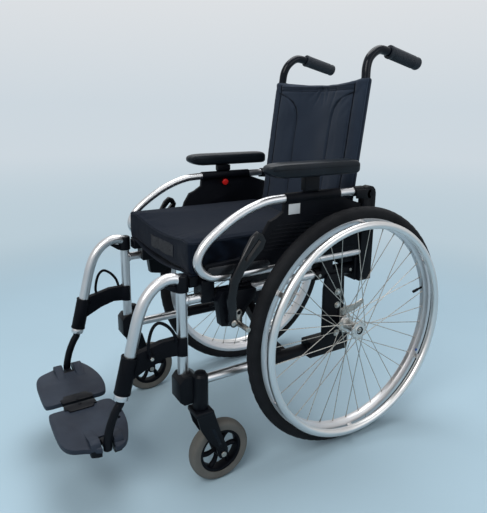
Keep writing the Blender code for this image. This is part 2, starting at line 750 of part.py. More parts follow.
def build_brake_lever():
    low = LEVER_X - 0.005
    high = LEVER_X + 0.005
    outline = [
        (-0.344, 0.384), (-0.349, 0.440), (-0.341, 0.484), (-0.325, 0.512), (-0.291, 0.568), (-0.276, 0.580),
        (-0.262, 0.574), (-0.253, 0.558), (-0.259, 0.543), (-0.306, 0.498), (-0.322, 0.470), (-0.328, 0.440),
        (-0.326, 0.384),
    ]
    bar = slab(outline, low, high, bevel=0.002)
    lean = math.atan2(0.040, 0.046)
    window = box(
        (low - 0.01, -0.2885 - 0.0045, 0.5405 - 0.027), (high + 0.01, -0.2885 + 0.0045, 0.5405 + 0.027),
        turn=Matrix.Rotation(-lean, 4, "X"),
    )
    boss = rod((BRAKE_PLATE_X[1] + PLAY, *BRAKE_PIVOT), (high, *BRAKE_PIVOT), 0.010, 12)
    return cut(union(bar, boss), window, pin_hole(BRAKE_PIVOT))


def build_brake_shoe():
    low = BRAKE_PLATE_X[1] + PLAY
    link = slab(
        arc(SHOE_PIVOT, 0.008, 0, 180, 4) + arc(SHOE_ROD, 0.008, 180, 360, 4), low, low + 0.006
    )
    bolt = rod((low, *SHOE_ROD), (WHEEL_X + 0.014, *SHOE_ROD), SHOE_RADIUS, 12)
    return cut(union(link, bolt), pin_hole(SHOE_PIVOT))


def build_caster_housing():
    low, high = HOUSING_Z
    cylinder = rod((CASTER_X, STEM_Y, low), (CASTER_X, STEM_Y, high - 0.006), HOUSING_RADIUS, 12)
    cap = rod(
        (CASTER_X, STEM_Y, high - 0.006), (CASTER_X, STEM_Y, high), HOUSING_RADIUS, 12, HOUSING_RADIUS * 0.7
    )
    outline = [
        (-0.450, 0.212), (-0.440, 0.203), (-0.414, 0.203), (-0.398, 0.216), (-0.398, 0.256), (-0.414, 0.268),
        (-0.440, 0.268), (-0.450, 0.256),
    ]
    clamp = slab(outline, RAIL_X - 0.018, CASTER_X - 0.006)
    post_cut = rod((RAIL_X, POST_Y, 0.18), (RAIL_X, POST_Y, 0.30), POST_RADIUS + GAP, 12)
    stem_cut = rod((CASTER_X, STEM_Y, low - 0.02), (CASTER_X, STEM_Y, STEM_TOP + GAP), STEM_RADIUS + PLAY, 12)
    return cut(union(cylinder, cap, clamp), post_cut, stem_cut, rail_cut(LOWER_RAIL_Z, POST_Y, POST_Y + 0.06))


def build_caster_fork():
    outer = FORK_INNER + FORK_THICKNESS
    edge = 0.0005
    crown = box(
        (CASTER_X - outer - edge, STEM_Y - 0.021 - edge, CROWN_TOP - CROWN_THICKNESS),
        (CASTER_X + outer + edge, STEM_Y + 0.021 + edge, CROWN_TOP), 0.002, 1,
    )
    axle_y = CASTER_AXLE.y
    outline = [
        (STEM_Y - 0.021, CROWN_TOP - 0.003), (STEM_Y + 0.021, CROWN_TOP - 0.003), (STEM_Y + 0.029, 0.160),
        (STEM_Y + 0.040, 0.125), (axle_y + 0.0115, CASTER_RADIUS + 0.012),
    ]
    outline += arc((axle_y, CASTER_RADIUS), 0.012, 12, -170, 6)
    outline += [(axle_y - 0.017, CASTER_RADIUS + 0.020), (STEM_Y + 0.004, 0.122), (STEM_Y - 0.010, 0.148)]
    legs = [
        slab(outline, CASTER_X - outer, CASTER_X - FORK_INNER),
        slab(outline, CASTER_X + FORK_INNER, CASTER_X + outer),
    ]
    stem = rod((CASTER_X, STEM_Y, CROWN_TOP - 0.005), (CASTER_X, STEM_Y, STEM_TOP), STEM_RADIUS, 12)
    head = outer + 0.003
    bolt = rod(CASTER_AXLE - Vector((outer, 0, 0)), CASTER_AXLE + Vector((outer, 0, 0)), BOLT_RADIUS, 12)
    heads = [
        rod(CASTER_AXLE + Vector((side * (outer - 0.001), 0, 0)), CASTER_AXLE + Vector((side * head, 0, 0)), 0.007, 6)
        for side in (-1, 1)
    ]
    return union(crown, *legs, stem, bolt, *heads)


def build_caster_tyre():
    half = CASTER_WIDTH / 2
    outer = CASTER_RADIUS
    section = [
        (CASTER_RIM_RADIUS, half - 0.0015), (outer - 0.009, half), (outer, half - 0.008),
    ]
    return turned(section + [(r, -s) for r, s in reversed(section)], CASTER_AXLE, steps=CASTER_STEPS)


def build_caster_rim():
    outer = CASTER_RIM_RADIUS - GAP
    bore = BOLT_RADIUS + PLAY
    hub_half = FORK_INNER - 0.001
    ring = turned([(outer, 0.012), (0.0445, 0.012), (0.0445, -0.012), (outer, -0.012)], CASTER_AXLE, steps=CASTER_STEPS)
    hub = turned([(bore, hub_half), (bore, -hub_half), (0.013, -hub_half), (0.013, hub_half)], CASTER_AXLE, steps=12)
    spokes = []
    for k in range(6):
        angle = math.pi / 3 * k
        out = Vector((0, math.cos(angle), math.sin(angle)))
        side = Vector((0, -math.sin(angle), math.cos(angle)))
        near = CASTER_AXLE + out * 0.009
        far = CASTER_AXLE + out * 0.047
        spoke = tube([near, (near + far) / 2 + side * 0.004, far], 0.0055, 0)
        spokes.append(spoke)
    return union(ring, hub, *spokes)


def down_hanger(distance, x=HANGER_X):
    spot = HANGER_TOP + HANGER_DOWN * distance
    return Vector((x, spot.x, spot.y))


def hanger_path():
    bend = [
        (POST_Y, 0.480), (-0.449, 0.487), (-0.470, 0.485), (-0.492, 0.473), (-0.511, 0.451), (-0.525, 0.421),
        tuple(HANGER_TOP),
    ]
    return smooth(in_plane(HANGER_X, bend), 2) + [down_hanger(HANGER_END)]


def build_hanger_tube():
    bar = tube(hanger_path(), HANGER_RADIUS, 2)
    cap = rod((RAIL_X, POST_Y, HANGER_CAP_Z[0]), (RAIL_X, POST_Y, HANGER_CAP_Z[1]), CAP_RADIUS, 12)
    wedge = slab(
        [(-0.440, 0.470), (-0.440, HANGER_CAP_Z[0]), (-0.449, HANGER_CAP_Z[0] + 0.001), (-0.478, 0.478)],
        HANGER_X - 0.006, HANGER_X + 0.006,
    )
    bore = rod(
        down_hanger(EXTENSION_START - 0.010), down_hanger(HANGER_END + 0.02), EXTENSION_RADIUS + PLAY, 16
    )
    return cut(union(bar, cap, wedge), bore)


def build_hanger_bracket():
    boot = rod(down_hanger(BOOT[0]), down_hanger(BOOT[1]), BOOT_RADIUS, 12)
    outline = [
        (-0.545, 0.338), (-0.515, 0.344), (-0.480, 0.353), (-0.430, SADDLE_Z[1]), (-0.430, SADDLE_Z[0]),
        (-0.470, 0.316), (-0.505, 0.306), (-0.545, 0.286),
    ]
    arm = slab(outline, *BRACKET_ARM_X)
    saddle = rod((RAIL_X, POST_Y, SADDLE_Z[0]), (RAIL_X, POST_Y, SADDLE_Z[1]), CAP_RADIUS + 0.001, 12)
    post_cut = rod((RAIL_X, POST_Y, 0.28), (RAIL_X, POST_Y, 0.38), POST_RADIUS + PLAY, 12)
    open_back = box((RAIL_X - 0.03, POST_Y + 0.005, 0.28), (RAIL_X + 0.03, POST_Y + 0.04, 0.38))
    tube_cut = rod(down_hanger(BOOT[0] - 0.05), down_hanger(BOOT[1] + 0.02), HANGER_RADIUS + PLAY, 12)
    pin = rod((BRACKET_ARM_X[1] - 0.005, *RELEASE_PIVOT), (RELEASE_X + 0.005, *RELEASE_PIVOT), 0.003, 12)
    return cut(union(boot, arm, saddle, pin), post_cut, open_back, tube_cut)


def build_hanger_lever():
    loop = [
        RELEASE_PIVOT, (-0.512, 0.352), (-0.504, 0.387), (-0.489, 0.401), (-0.470, 0.391), (-0.455, 0.371),
        (-0.448, 0.348),
    ]
    strap = tube(smooth(in_plane(RELEASE_X, loop), 2), 0.0035, 0)
    boss = rod((RELEASE_X - 0.0035, *RELEASE_PIVOT), (RELEASE_X + 0.0045, *RELEASE_PIVOT), 0.007, 12)
    hole = rod((RELEASE_X - 0.01, *RELEASE_PIVOT), (RELEASE_X + 0.01, *RELEASE_PIVOT), 0.003 + PLAY, 12)
    return cut(union(strap, boss), hole)


def build_leg_extension():
    lower = [
        down_hanger(EXTENSION_EXIT), (HANGER_X, -0.5835, 0.219), (HANGER_X, -0.595, 0.192), (HANGER_X, -0.603, 0.160),
        (HANGER_X, FLIP_Y, FLIP_Z - 0.008),
    ]
    bar = tube([down_hanger(EXTENSION_START)] + smooth(lower, 2), EXTENSION_RADIUS, 1)
    barrel = rod(
        (FLIP_X, FLIP_Y - HINGE_LENGTH / 2, FLIP_Z), (FLIP_X, FLIP_Y + HINGE_LENGTH / 2, FLIP_Z), HINGE_RADIUS, 16
    )
    web = box((FLIP_X, FLIP_Y - 0.008, FLIP_Z - 0.005), (HANGER_X, FLIP_Y + 0.008, FLIP_Z + 0.005))
    return union(bar, barrel, web)


def build_footplate():
    low = FLIP_Z - FOOT_THICKNESS / 2
    high = FLIP_Z + FOOT_THICKNESS / 2
    outline = [
        (FOOT_INNER, FOOT_FRONT + 0.010), (FOOT_INNER + 0.010, FOOT_FRONT + 0.001), (0.080, FOOT_FRONT),
        (0.140, FOOT_FRONT + 0.003), (0.168, FOOT_FRONT + 0.016), (0.182, FOOT_FRONT + 0.045),
        (FOOT_OUTER - 0.006, FOOT_REAR - 0.076), (FOOT_OUTER, FOOT_REAR - 0.050), (FOOT_OUTER - 0.010, FOOT_REAR - 0.030),
        (0.160, FOOT_REAR - 0.012), (0.115, FOOT_REAR - 0.002), (0.070, FOOT_REAR), (0.030, FOOT_REAR - 0.008),
        (FOOT_INNER, FOOT_REAR - 0.020),
    ]
    plate = slab(outline, low, high, "Z", bevel=0.002)
    slot_half = HINGE_LENGTH / 2 + GAP
    wall_front = box((0.172, FLIP_Y - slot_half - 0.022, low), (0.186, FLIP_Y - slot_half - 0.001, high + 0.012), 0.003, 1)
    wall_rear = box((0.172, FLIP_Y + slot_half + 0.001, low), (0.196, FOOT_REAR - 0.030, high + 0.012), 0.004, 1)
    keel = box((0.150, FLIP_Y - slot_half - 0.022, low - 0.011), (0.194, FOOT_REAR - 0.034, high - 0.004), 0.004, 1)
    slot = box(
        (FLIP_X - HINGE_RADIUS - PLAY, FLIP_Y - slot_half, low - 0.04), (FOOT_OUTER + 0.02, FLIP_Y + slot_half, high + 0.04)
    )
    return cut(union(plate, wall_front, wall_rear, keel), slot)


def build_arm(lean, middle_y, bolt_length):
    """A brace arm from the lower rail at +X to the seat tube at -X; lean gives the other arm's mirror image."""
    foot = Vector((RAIL_X, middle_y, LOWER_RAIL_Z))
    head = Vector((-SEAT_TUBE_X, middle_y, SEAT_TUBE_Z))
    along = head - foot
    angle = math.atan2(along.z, -along.x)
    bar = box(
        (-along.length / 2, -ARM_DEPTH / 2, -ARM_HALF), (along.length / 2, ARM_DEPTH / 2, ARM_HALF),
        turn=Matrix.Rotation(angle, 4, "Y"),
    )
    bar.data.transform(Matrix.Translation((foot + head) / 2))
    sleeve = rod((RAIL_X, SLEEVE[0], LOWER_RAIL_Z), (RAIL_X, SLEEVE[1], LOWER_RAIL_Z), RAIL_RADIUS + PLAY + 0.004, 12)
    gusset = slab(
        [(middle_y - 0.034, 0), (middle_y + 0.034, 0), (middle_y + 0.008, 0.060), (middle_y - 0.008, 0.060)],
        -0.004, 0.004,
    )
    stand = Matrix.Translation((RAIL_X - 0.010, 0, LOWER_RAIL_Z + 0.004))
    gusset.data.transform(stand @ Matrix.Rotation(angle - math.pi / 2, 4, "Y"))
    seat_tube = rod(
        (-SEAT_TUBE_X, SEAT_TUBE_FRONT, SEAT_TUBE_Z), (-SEAT_TUBE_X, SEAT_TUBE_REAR, SEAT_TUBE_Z), SEAT_TUBE_RADIUS, 20
    )
    end_block = box(
        (-SEAT_TUBE_X - 0.013, SEAT_TUBE_FRONT - 0.001, SEAT_TUBE_Z - 0.012),
        (-SEAT_TUBE_X + 0.018, SEAT_TUBE_FRONT + 0.022, SEAT_TUBE_Z + SEAT_TUBE_RADIUS - 0.0007), 0.002, 1,
    )
    whole = union(bar, sleeve, gusset, seat_tube, end_block)
    whole = cut(whole, rod(
        (RAIL_X, SLEEVE[0] - 0.01, LOWER_RAIL_Z), (RAIL_X, SLEEVE[1] + 0.01, LOWER_RAIL_Z), RAIL_RADIUS + PLAY, 20
    ))
    if bolt_length:
        whole = union(whole, rod((0, middle_y, BRACE_Z), (0, middle_y + bolt_length, BRACE_Z), BRACE_BOLT_RADIUS, 12))
    else:
        whole = cut(whole, rod((0, middle_y - 0.03, BRACE_Z), (0, middle_y + 0.03, BRACE_Z), BRACE_BOLT_RADIUS + PLAY, 12))
    return to_right(whole) if lean < 0 else whole


def crisp(value):
    """Moves a cage's inner rows towards its edges, so that the corners come out small."""
    return math.copysign(abs(value) ** CRISPNESS, value) if value else 0


def cage(low, high, cuts, shape):
    """A block with a grid on each face, its points moved by a function of where they lie from -1 to 1."""
    body = bmesh.new()
    bmesh.ops.create_cube(body, size=2.0)
    bmesh.ops.subdivide_edges(body, edges=body.edges[:], cuts=cuts, use_grid_fill=True)
    low = Vector(low)
    high = Vector(high)
    for vert in body.verts:
        share = Vector(crisp(value) for value in vert.co)
        spot = Vector(low[i] + (high[i] - low[i]) * (share[i] + 1) / 2 for i in range(3))
        vert.co = spot + Vector(shape(*share))
    obj = new_mesh("cage", body)
    soften = obj.modifiers.new("soften", "SUBSURF")
    soften.levels = 1
    soften.render_levels = 1
    return baked(obj)


def sling_sag(x):
    """How far the seat hangs at a distance from the middle: it is straight over the seat tubes."""
    free = SEAT_TUBE_X - SEAT_TUBE_RADIUS - 0.020
    return -CUSHION_SAG * max(0, 1 - (x / free) ** 2)


def cushion_shape(u, v, w):
    """Crown on top, sides drawn in between the corners, and a sag in the middle like the sling's."""
    inside = (1 - u * u) * (1 - v * v)
    sag = sling_sag(u * CUSHION_HALF) * (1 if w > 0 else CUSHION_BELLY)
    crown = 0.008 * inside if w > 0 else 0
    draw_x = -0.005 * u * (1 - v * v) * (1 - abs(w) * 0.5)
    draw_y = -0.005 * v * (1 - u * u) * (1 - abs(w) * 0.5)
    corner = -0.001 * (abs(u) ** 6) * (abs(v) ** 6)
    return draw_x + corner * u, draw_y + corner * v, sag + crown


def build_cushion():
    base = SLING_Z + SLING_THICKNESS + CUSHION_LIFT
    return cage(
        (-CUSHION_HALF, CUSHION_FRONT, base), (CUSHION_HALF, CUSHION_REAR, base + CUSHION_THICKNESS), 4, cushion_shape
    )


def build_sling():
    body = bmesh.new()
    steps = 12
    half = SEAT_TUBE_X + SEAT_TUBE_RADIUS - 0.002
    rows = []
    for i in range(steps + 1):
        u = -1 + 2 * i / steps
        sag = sling_sag(u * half)
        rows.append([
            body.verts.new((u * half, y, SLING_Z + sag + lift))
            for y, lift in (
                (CUSHION_FRONT + 0.004, 0), (SEAT_TUBE_REAR - 0.003, 0),
                (SEAT_TUBE_REAR - 0.003, SLING_THICKNESS), (CUSHION_FRONT + 0.004, SLING_THICKNESS),
            )
        ])
    for first, second in zip(rows, rows[1:]):
        for k in range(4):
            body.faces.new((first[k], first[(k + 1) % 4], second[(k + 1) % 4], second[k]))
    body.faces.new(rows[0])
    body.faces.new(rows[-1])
    bmesh.ops.recalc_face_normals(body, faces=body.faces)
    return new_mesh("sling", body)


def back_shape(u, v, w):
    """Slack cloth: its middle hangs back between the canes, with two sewn channels and a top edge that dips."""
    across = abs(u)
    top = -0.014 * (1 - u * u) * max(w, 0) ** 4
    lean = -BACK_LEAN * (BACK_Z[1] - BACK_Z[0]) * (1 - w) / 2
    on_channel = abs(across - crisp(0.6)) < 0.01
    shift = (CHANNEL - across) * math.copysign(BACK_HALF, u) if on_channel else 0
    slack = BACK_SAG * (1 - u * u) * (1 - 0.5 * max(w, 0) ** 3)
    if v < 0:
        return shift, lean + slack + 0.005 * on_channel * (1 - abs(w) ** 8), top
    thin = (BACK_SIDE_DEPTH - BACK_MIDDLE_DEPTH) if across < 0.7 else 0
    return shift, lean + slack - thin * (v > 0.99), top


def build_back():
    cloth = cage(
        (-BACK_HALF, BACK_FACE, BACK_Z[0]), (BACK_HALF, BACK_FACE + BACK_SIDE_DEPTH, BACK_Z[1]), 4, back_shape
    )
    along = Vector(BACK_TOP) - Vector(BACK_FOOT)
    for side in (1, -1):
        low = Vector(BACK_FOOT)
        high = Vector(BACK_TOP) + along * 0.1
        if side < 0:
            low = flipped(low)
            high = flipped(high)
        cloth = cut(cloth, rod(low, high, BACK_TUBE_RADIUS + PLAY, 12))
    return cloth


PIVOTS = {
    "frame": (RAIL_X, 0, LOWER_RAIL_Z),
    "wheel": AXLE,
    "axle_button": AXLE,
    "caster_swivel": (CASTER_X, STEM_Y, HOUSING_Z[0]),
    "caster_wheel": CASTER_AXLE,
    "brake_lever": (LEVER_X, *BRAKE_PIVOT),
    "brake_shoe": (LEVER_X, *SHOE_PIVOT),
    "guard": (GUARD_X, *GUARD_PIVOT),
    "armrest": (GUARD_X, (ARM_POST_Y[0] + ARM_POST_Y[1]) / 2, ARM_POST_TOP),
    "armrest_button": (PANEL_X[0], *ARMREST_BUTTON),
    "hanger": (RAIL_X, POST_Y, UPPER_RAIL_Z),
    "hanger_lever": (RELEASE_X, *RELEASE_PIVOT),
    "extension": down_hanger(HANGER_END),
    "footplate": (FLIP_X, FLIP_Y, FLIP_Z),
}
CARRIERS = {
    "wheel": "frame", "axle_button": "frame", "caster_swivel": "frame", "caster_wheel": "caster_swivel",
    "brake_lever": "frame", "brake_shoe": "frame", "guard": "frame", "armrest": "guard", "armrest_button": "guard",
    "hanger": "frame", "hanger_lever": "hanger", "extension": "hanger", "footplate": "extension",
}
PIECES = [
    (build_side_frame, "side_frame", "frame", SILVER),
    (build_axle_plate, "axle_plate", "frame", BLACK),
    (build_back_tube, "back_tube", "frame", GLOSS_BLACK),
    (build_push_grip, "push_grip", "frame", GRIP_BLACK),
    (build_back_bracket, "guard_receiver", "frame", BLACK),
    (build_brake_mount, "brake_mount", "frame", BLACK),
    (build_caster_housing, "caster_housing", "frame", BLACK),
    (build_tyre, "rear_tyre", "wheel", TYRE_BLACK),
    (build_rim, "rear_rim", "wheel", BRIGHT),
    (build_hub, "hub_and_spokes", "wheel", STEEL),
    (build_handrim, "handrim", "wheel", BRIGHT),
    (build_axle_button, "axle_button", "axle_button", STEEL),
    (build_caster_fork, "caster_fork", "caster_swivel", BLACK),
    (build_caster_rim, "caster_rim", "caster_wheel", BLACK),
    (build_caster_tyre, "caster_tyre", "caster_wheel", TYRE_GREY),
    (build_brake_lever, "brake_lever", "brake_lever", BLACK),
    (build_brake_shoe, "brake_shoe", "brake_shoe", STEEL),
    (build_guard_tube, "guard_tube", "guard", SILVER),
    (build_guard_panel, "guard_panel", "guard", BLACK),
    (build_armrest_button, "armrest_button", "armrest_button", RED),
    (build_hanger_tube, "hanger_tube", "hanger", SILVER),
    (build_hanger_bracket, "hanger_bracket", "hanger", BLACK),
    (build_hanger_lever, "release_lever", "hanger_lever", BLACK),
    (build_leg_extension, "leg_extension", "extension", BLACK),
    (build_footplate, "footplate", "footplate", FOOT_GREY),
]


def flipped(spot):
    return Vector((-spot[0], spot[1], spot[2]))


def build_chair():
    root = bpy.data.objects.new("chair", None)
    root.location = (0, CHAIR_Y, 0)
    parts.objects.link(root)
    bodies["chair"] = (root, Vector())
    add_body("frame_left", "chair", PIVOTS["frame"])
    add_body("arm_a", "frame_left", PIVOTS["frame"])
    add_body("arm_b", "arm_a", (0, 0, BRACE_Z))
    add_body("frame_right", "arm_b", flipped(PIVOTS["frame"]))
    for name, carrier in CARRIERS.items():
        add_body(name + "_left", carrier + "_left", PIVOTS[name])
        add_body(name + "_right", carrier + "_right", flipped(PIVOTS[name]))
    for build, name, body, finish_material in PIECES:
        both_sides(build(), name, body, finish_material)
    finish(build_armrest_post(0), "armrest_post_left", "armrest_left", BLACK)
    finish(build_armrest_pad(0, 0), "armrest_pad_left", "armrest_left", PAD_BLACK)
    finish(to_right(build_armrest_post(ARMREST_DROP)), "armrest_post_right", "armrest_right", BLACK)
    finish(to_right(build_armrest_pad(ARMREST_DROP, PAD_SLIDE)), "armrest_pad_right", "armrest_right", PAD_BLACK)
    bolt_length = ARM_B_Y - ARM_A_Y + ARM_DEPTH / 2 + 0.004
    finish(build_arm(1, ARM_A_Y, bolt_length), "cross_arm_a", "arm_a", BLACK)
    finish(build_arm(-1, ARM_B_Y, 0), "cross_arm_b", "arm_b", BLACK)
    finish(build_sling(), "seat_sling", "frame_left", SEAT_CLOTH)
    finish(build_cushion(), "seat_cushion", "frame_left", SEAT_CLOTH)
    finish(build_back(), "back_upholstery", "frame_left", BACK_CLOTH)


build_chair()
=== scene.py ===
"""Looks of the active wheelchair: finishes, smooth turned parts, cloth and cushions round the CAD frame.

Places are written as in the part: X across from the middle plane, Y from the rear axle line, Z from the
floor, in metres. at() turns them into the frame's own places. The left side is built and mirrored.
"""

import math

import bmesh
import bpy
from mathutils import Matrix, Vector, noise
from mathutils.bvhtree import BVHTree
from mathutils.kdtree import KDTree


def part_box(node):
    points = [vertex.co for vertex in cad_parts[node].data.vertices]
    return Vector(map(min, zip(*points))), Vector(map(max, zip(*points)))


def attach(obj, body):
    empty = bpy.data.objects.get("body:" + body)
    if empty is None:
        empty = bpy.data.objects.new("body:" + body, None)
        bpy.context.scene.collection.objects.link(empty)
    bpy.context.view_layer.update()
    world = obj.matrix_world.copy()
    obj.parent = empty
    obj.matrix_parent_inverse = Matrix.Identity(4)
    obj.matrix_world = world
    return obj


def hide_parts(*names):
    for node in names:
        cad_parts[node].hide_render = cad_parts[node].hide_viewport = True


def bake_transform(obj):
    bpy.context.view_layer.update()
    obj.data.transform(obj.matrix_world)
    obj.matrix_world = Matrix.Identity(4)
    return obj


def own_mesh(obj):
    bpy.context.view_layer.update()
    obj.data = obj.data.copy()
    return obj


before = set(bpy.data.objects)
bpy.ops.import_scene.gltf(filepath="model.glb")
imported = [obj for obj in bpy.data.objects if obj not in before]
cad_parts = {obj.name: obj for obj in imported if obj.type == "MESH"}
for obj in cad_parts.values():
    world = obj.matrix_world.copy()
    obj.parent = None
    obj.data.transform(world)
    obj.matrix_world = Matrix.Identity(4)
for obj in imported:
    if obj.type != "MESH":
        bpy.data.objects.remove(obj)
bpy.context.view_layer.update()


def middle(node):
    low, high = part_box(node)
    return (low + high) / 2


# Driving places, from the frame
AXLE = middle("rear_tyre_left")
CASTER = middle("caster_tyre_left")

# Directions
ACROSS = Vector((1, 0, 0))
BEHIND = Vector((0, 1, 0))
UP = Vector((0, 0, 1))

# Camera, fitted to the photograph
CAMERA_PLACE = (1.1283, -0.8458, 0.8418)
CAMERA_AZIMUTH = 58.671
CAMERA_ELEVATION = 13.413
CAMERA_ROLL = 0.536
CAMERA_LENS = 35.845
CAMERA_SHIFT = (-0.0037, -0.0583)

# Floor and backdrop
FLOOR_HALF = 14.0
FADE_START = 1.1
FADE_END = 2.4
FLOOR_NEAR = (0.385, 0.515, 0.595)
FLOOR_MIDDLE = (0.485, 0.6, 0.672)
BACKDROP_LOW = (0.61, 0.68, 0.735)
BACKDROP_HIGH = (0.768, 0.776, 0.79)

# Rear wheel
WHEEL_RADIUS = 0.3045
TYRE_RADIUS = 0.017
RIM_HALF_WIDTH = 0.013
RIM_RADIUS = 0.276
RIM_INNER = 0.2565
HANDRIM_X = 0.289
HANDRIM_RADIUS = 0.266
HANDRIM_TUBE = 0.0095
HANDRIM_TABS = 6
SPOKES = 36
SPOKE_RADIUS = 0.001
SPOKE_CROSSINGS = 3
SPOKE_HOLES = 0.0205
FLANGE_X = (0.234, 0.28)
FLANGE_RADIUS = 0.024
HUB_RADIUS = 0.013
HUB_X = 0.257
HUB_HALF = 0.027
DOT_RADIUS = 0.2655
VALVE_ANGLE = 12.9        # degrees from straight back, towards the top
DOT_ANGLE = -26.7
JOINT_ANGLE = -77.6

# Caster
CASTER_RADIUS = 0.0724
CASTER_RIM = 0.0517
CASTER_HALF = 0.015

# Side frame
RAIL_X = 0.187
RAIL_Z = (0.236, 0.434)
POST_Y = -0.43
PLATE_FACE = 0.209

# Back and handles
BACK_FOOT = (0.18, 0.014, 0.457)
BACK_TOP = (0.175, 0.073, 0.905)
BACK_LEAN = (BACK_TOP[1] - BACK_FOOT[1]) / (BACK_TOP[2] - BACK_FOOT[2])
BACK_Z = (0.503, 0.908)
BACK_HALF = 0.19
BACK_SAG = 0.021
SIDE_SEAM = 0.156
BACK_CREASES = (           # start, end (x, z), width, depth
    ((0.004, 0.884), (-0.018, 0.838), 0.0042, 0.0042), ((0.012, 0.884), (0.026, 0.836), 0.005, 0.0026),
    ((-0.01, 0.884), (-0.046, 0.852), 0.005, 0.0022), ((0.038, 0.882), (0.04, 0.845), 0.0055, 0.0022),
    ((-0.07, 0.882), (-0.062, 0.82), 0.007, 0.002), ((0.078, 0.882), (0.064, 0.826), 0.006, 0.0022),
    ((-0.152, 0.872), (-0.118, 0.842), 0.006, 0.003), ((-0.154, 0.85), (-0.12, 0.828), 0.006, 0.0022),
    ((0.152, 0.874), (0.112, 0.836), 0.006, 0.003), ((0.154, 0.846), (0.118, 0.806), 0.007, 0.0022),
    ((0.184, 0.89), (0.16, 0.856), 0.005, 0.0028), ((-0.184, 0.89), (-0.162, 0.862), 0.005, 0.0024),
)
HANDLE_X = 0.168
GRIP_START = (0.15, 0.974)
GRIP_END = (0.258, 0.949)
GRIP_RINGS = 14
GRIP_STEPS = 40
CANE_RADIUS = 0.011

# Side guard and armrest
GUARD_X = 0.208
GUARD_FACE = 0.2145
GUARD_HINGE = (0.07, 0.63)
GUARD_TOP = 0.638
PAD_X = 0.2185
RIGHT_PAD_SHIFT = (0, 0.02, -0.018)

# Seat
SEAT_TUBE_X = 0.176
SEAT_TUBE_Z = 0.472
SLACK_HALF = 0.1435
SLACK = 0.014
SLING_Z = 0.4848
CUSHION_HALF = 0.193
CUSHION_Y = (-0.412, -0.006)
CUSHION_MIDDLE = (CUSHION_Y[0] + CUSHION_Y[1]) / 2
CUSHION_DEPTH = CUSHION_Y[1] - CUSHION_Y[0]
CUSHION_Z = (0.4892, 0.5588)

# Legrest
HANGER_X = 0.186
HANGER_RADIUS = 0.0125
HANGER_TOP = (-0.535, 0.386)
HANGER_DOWN = Vector((0, -0.246, -0.969)).normalized()
RELEASE_X = 0.1985
RELEASE_PIVOT = (-0.506, 0.326)
FLIP = (0.16, -0.604, 0.146)


def at(x, y, z):
    return Vector((x, y + AXLE.y, z))


def down_hanger(distance):
    return at(HANGER_X, *HANGER_TOP) + HANGER_DOWN * distance


# Materials


class Nodes:
    """A node tree whose nodes are added in one line each."""

    def __init__(self, tree):
        self.tree = tree

    def put(self, node, inputs):
        """Sets a node's inputs, or links them where another node's output is given."""
        for key, value in inputs.items():
            if isinstance(value, bpy.types.NodeSocket):
                self.tree.links.new(value, node.inputs[key])
            else:
                node.inputs[key].default_value = value
        return node

    def add(self, kind, inputs, **settings):
        node = self.tree.nodes.new(kind)
        for key, value in settings.items():
            setattr(node, key, value)
        return self.put(node, inputs)

    def ramp(self, factor, low, high, spread=(0.3, 0.7)):
        made = self.add("ShaderNodeValToRGB", {"Fac": factor})
        for stop, colour, position in zip(made.color_ramp.elements, (low, high), spread):
            stop.position = position
            stop.color = (*colour, 1)
        return made.outputs["Color"]

    def maths(self, operation, first, second):
        return self.add("ShaderNodeMath", {0: first, 1: second}, operation=operation).outputs["Value"]

    def seen_by_eye(self):
        """One where a ray comes from the camera or by way of a shiny or clear surface."""
        rays = self.add("ShaderNodeLightPath", {}).outputs
        shiny = self.maths("MAXIMUM", rays["Is Camera Ray"], rays["Is Glossy Ray"])
        return self.maths("MAXIMUM", shiny, rays["Is Transmission Ray"])


class Finish(Nodes):
    """A new material."""

    def __init__(self, name):
        self.material = bpy.data.materials.new(name)
        self.material.use_nodes = True
        super().__init__(self.material.node_tree)
        self.shader = self.tree.nodes["Principled BSDF"]
        self.place = self.add("ShaderNodeTexCoord", {}).outputs["Object"]

    def noise(self, scale, detail, stretch=None):
        vector = self.place
        if stretch:
            vector = self.add("ShaderNodeMapping", {"Vector": vector, "Scale": stretch}).outputs["Vector"]
        inputs = {"Vector": vector, "Scale": scale, "Detail": detail, "Roughness": 0.55}
        return self.add("ShaderNodeTexNoise", inputs).outputs["Fac"]

    def threads(self, scale, distortion, detail, direction):
        return self.add("ShaderNodeTexWave", {
            "Vector": self.place, "Scale": scale, "Distortion": distortion, "Detail": detail,
            "Detail Scale": 1.5,
        }, wave_type="BANDS", bands_direction=direction).outputs["Fac"]

    def range(self, factor, low, high):
        inputs = {"Value": factor, "To Min": low, "To Max": high}
        return self.add("ShaderNodeMapRange", inputs).outputs["Result"]

    def bump(self, height, strength, distance, **normal):
        inputs = {"Height": height, "Strength": strength, "Distance": distance, **normal}
        return self.add("ShaderNodeBump", inputs).outputs["Normal"]

    def done(self, inputs):
        self.put(self.shader, inputs)
        return self.material


def metal(name, low, high, roughness, grain=(1, 1, 1)):
    """Bare or lacquered metal with faint handling marks."""
    made = Finish(name)
    return made.done({
        "Metallic": 1.0, "Base Color": made.ramp(made.noise(9, 4), low, high),
        "Roughness": made.range(made.noise(60, 5, grain), *roughness),
    })


def plastic(name, low, high, roughness, grain, bump, coat=0.0, specular=0.11):
    """Moulded plastic or rubber: a fine surface grain over slightly uneven colour."""
    made = Finish(name)
    return made.done({
        "Base Color": made.ramp(made.noise(14, 5), low, high),
        "Roughness": made.range(made.noise(45, 4), *roughness),
        "Normal": made.bump(made.noise(grain, 3), bump, 0.0006), "Specular IOR Level": specular,
        "Coat Weight": coat, "Coat Roughness": 0.08,
    })


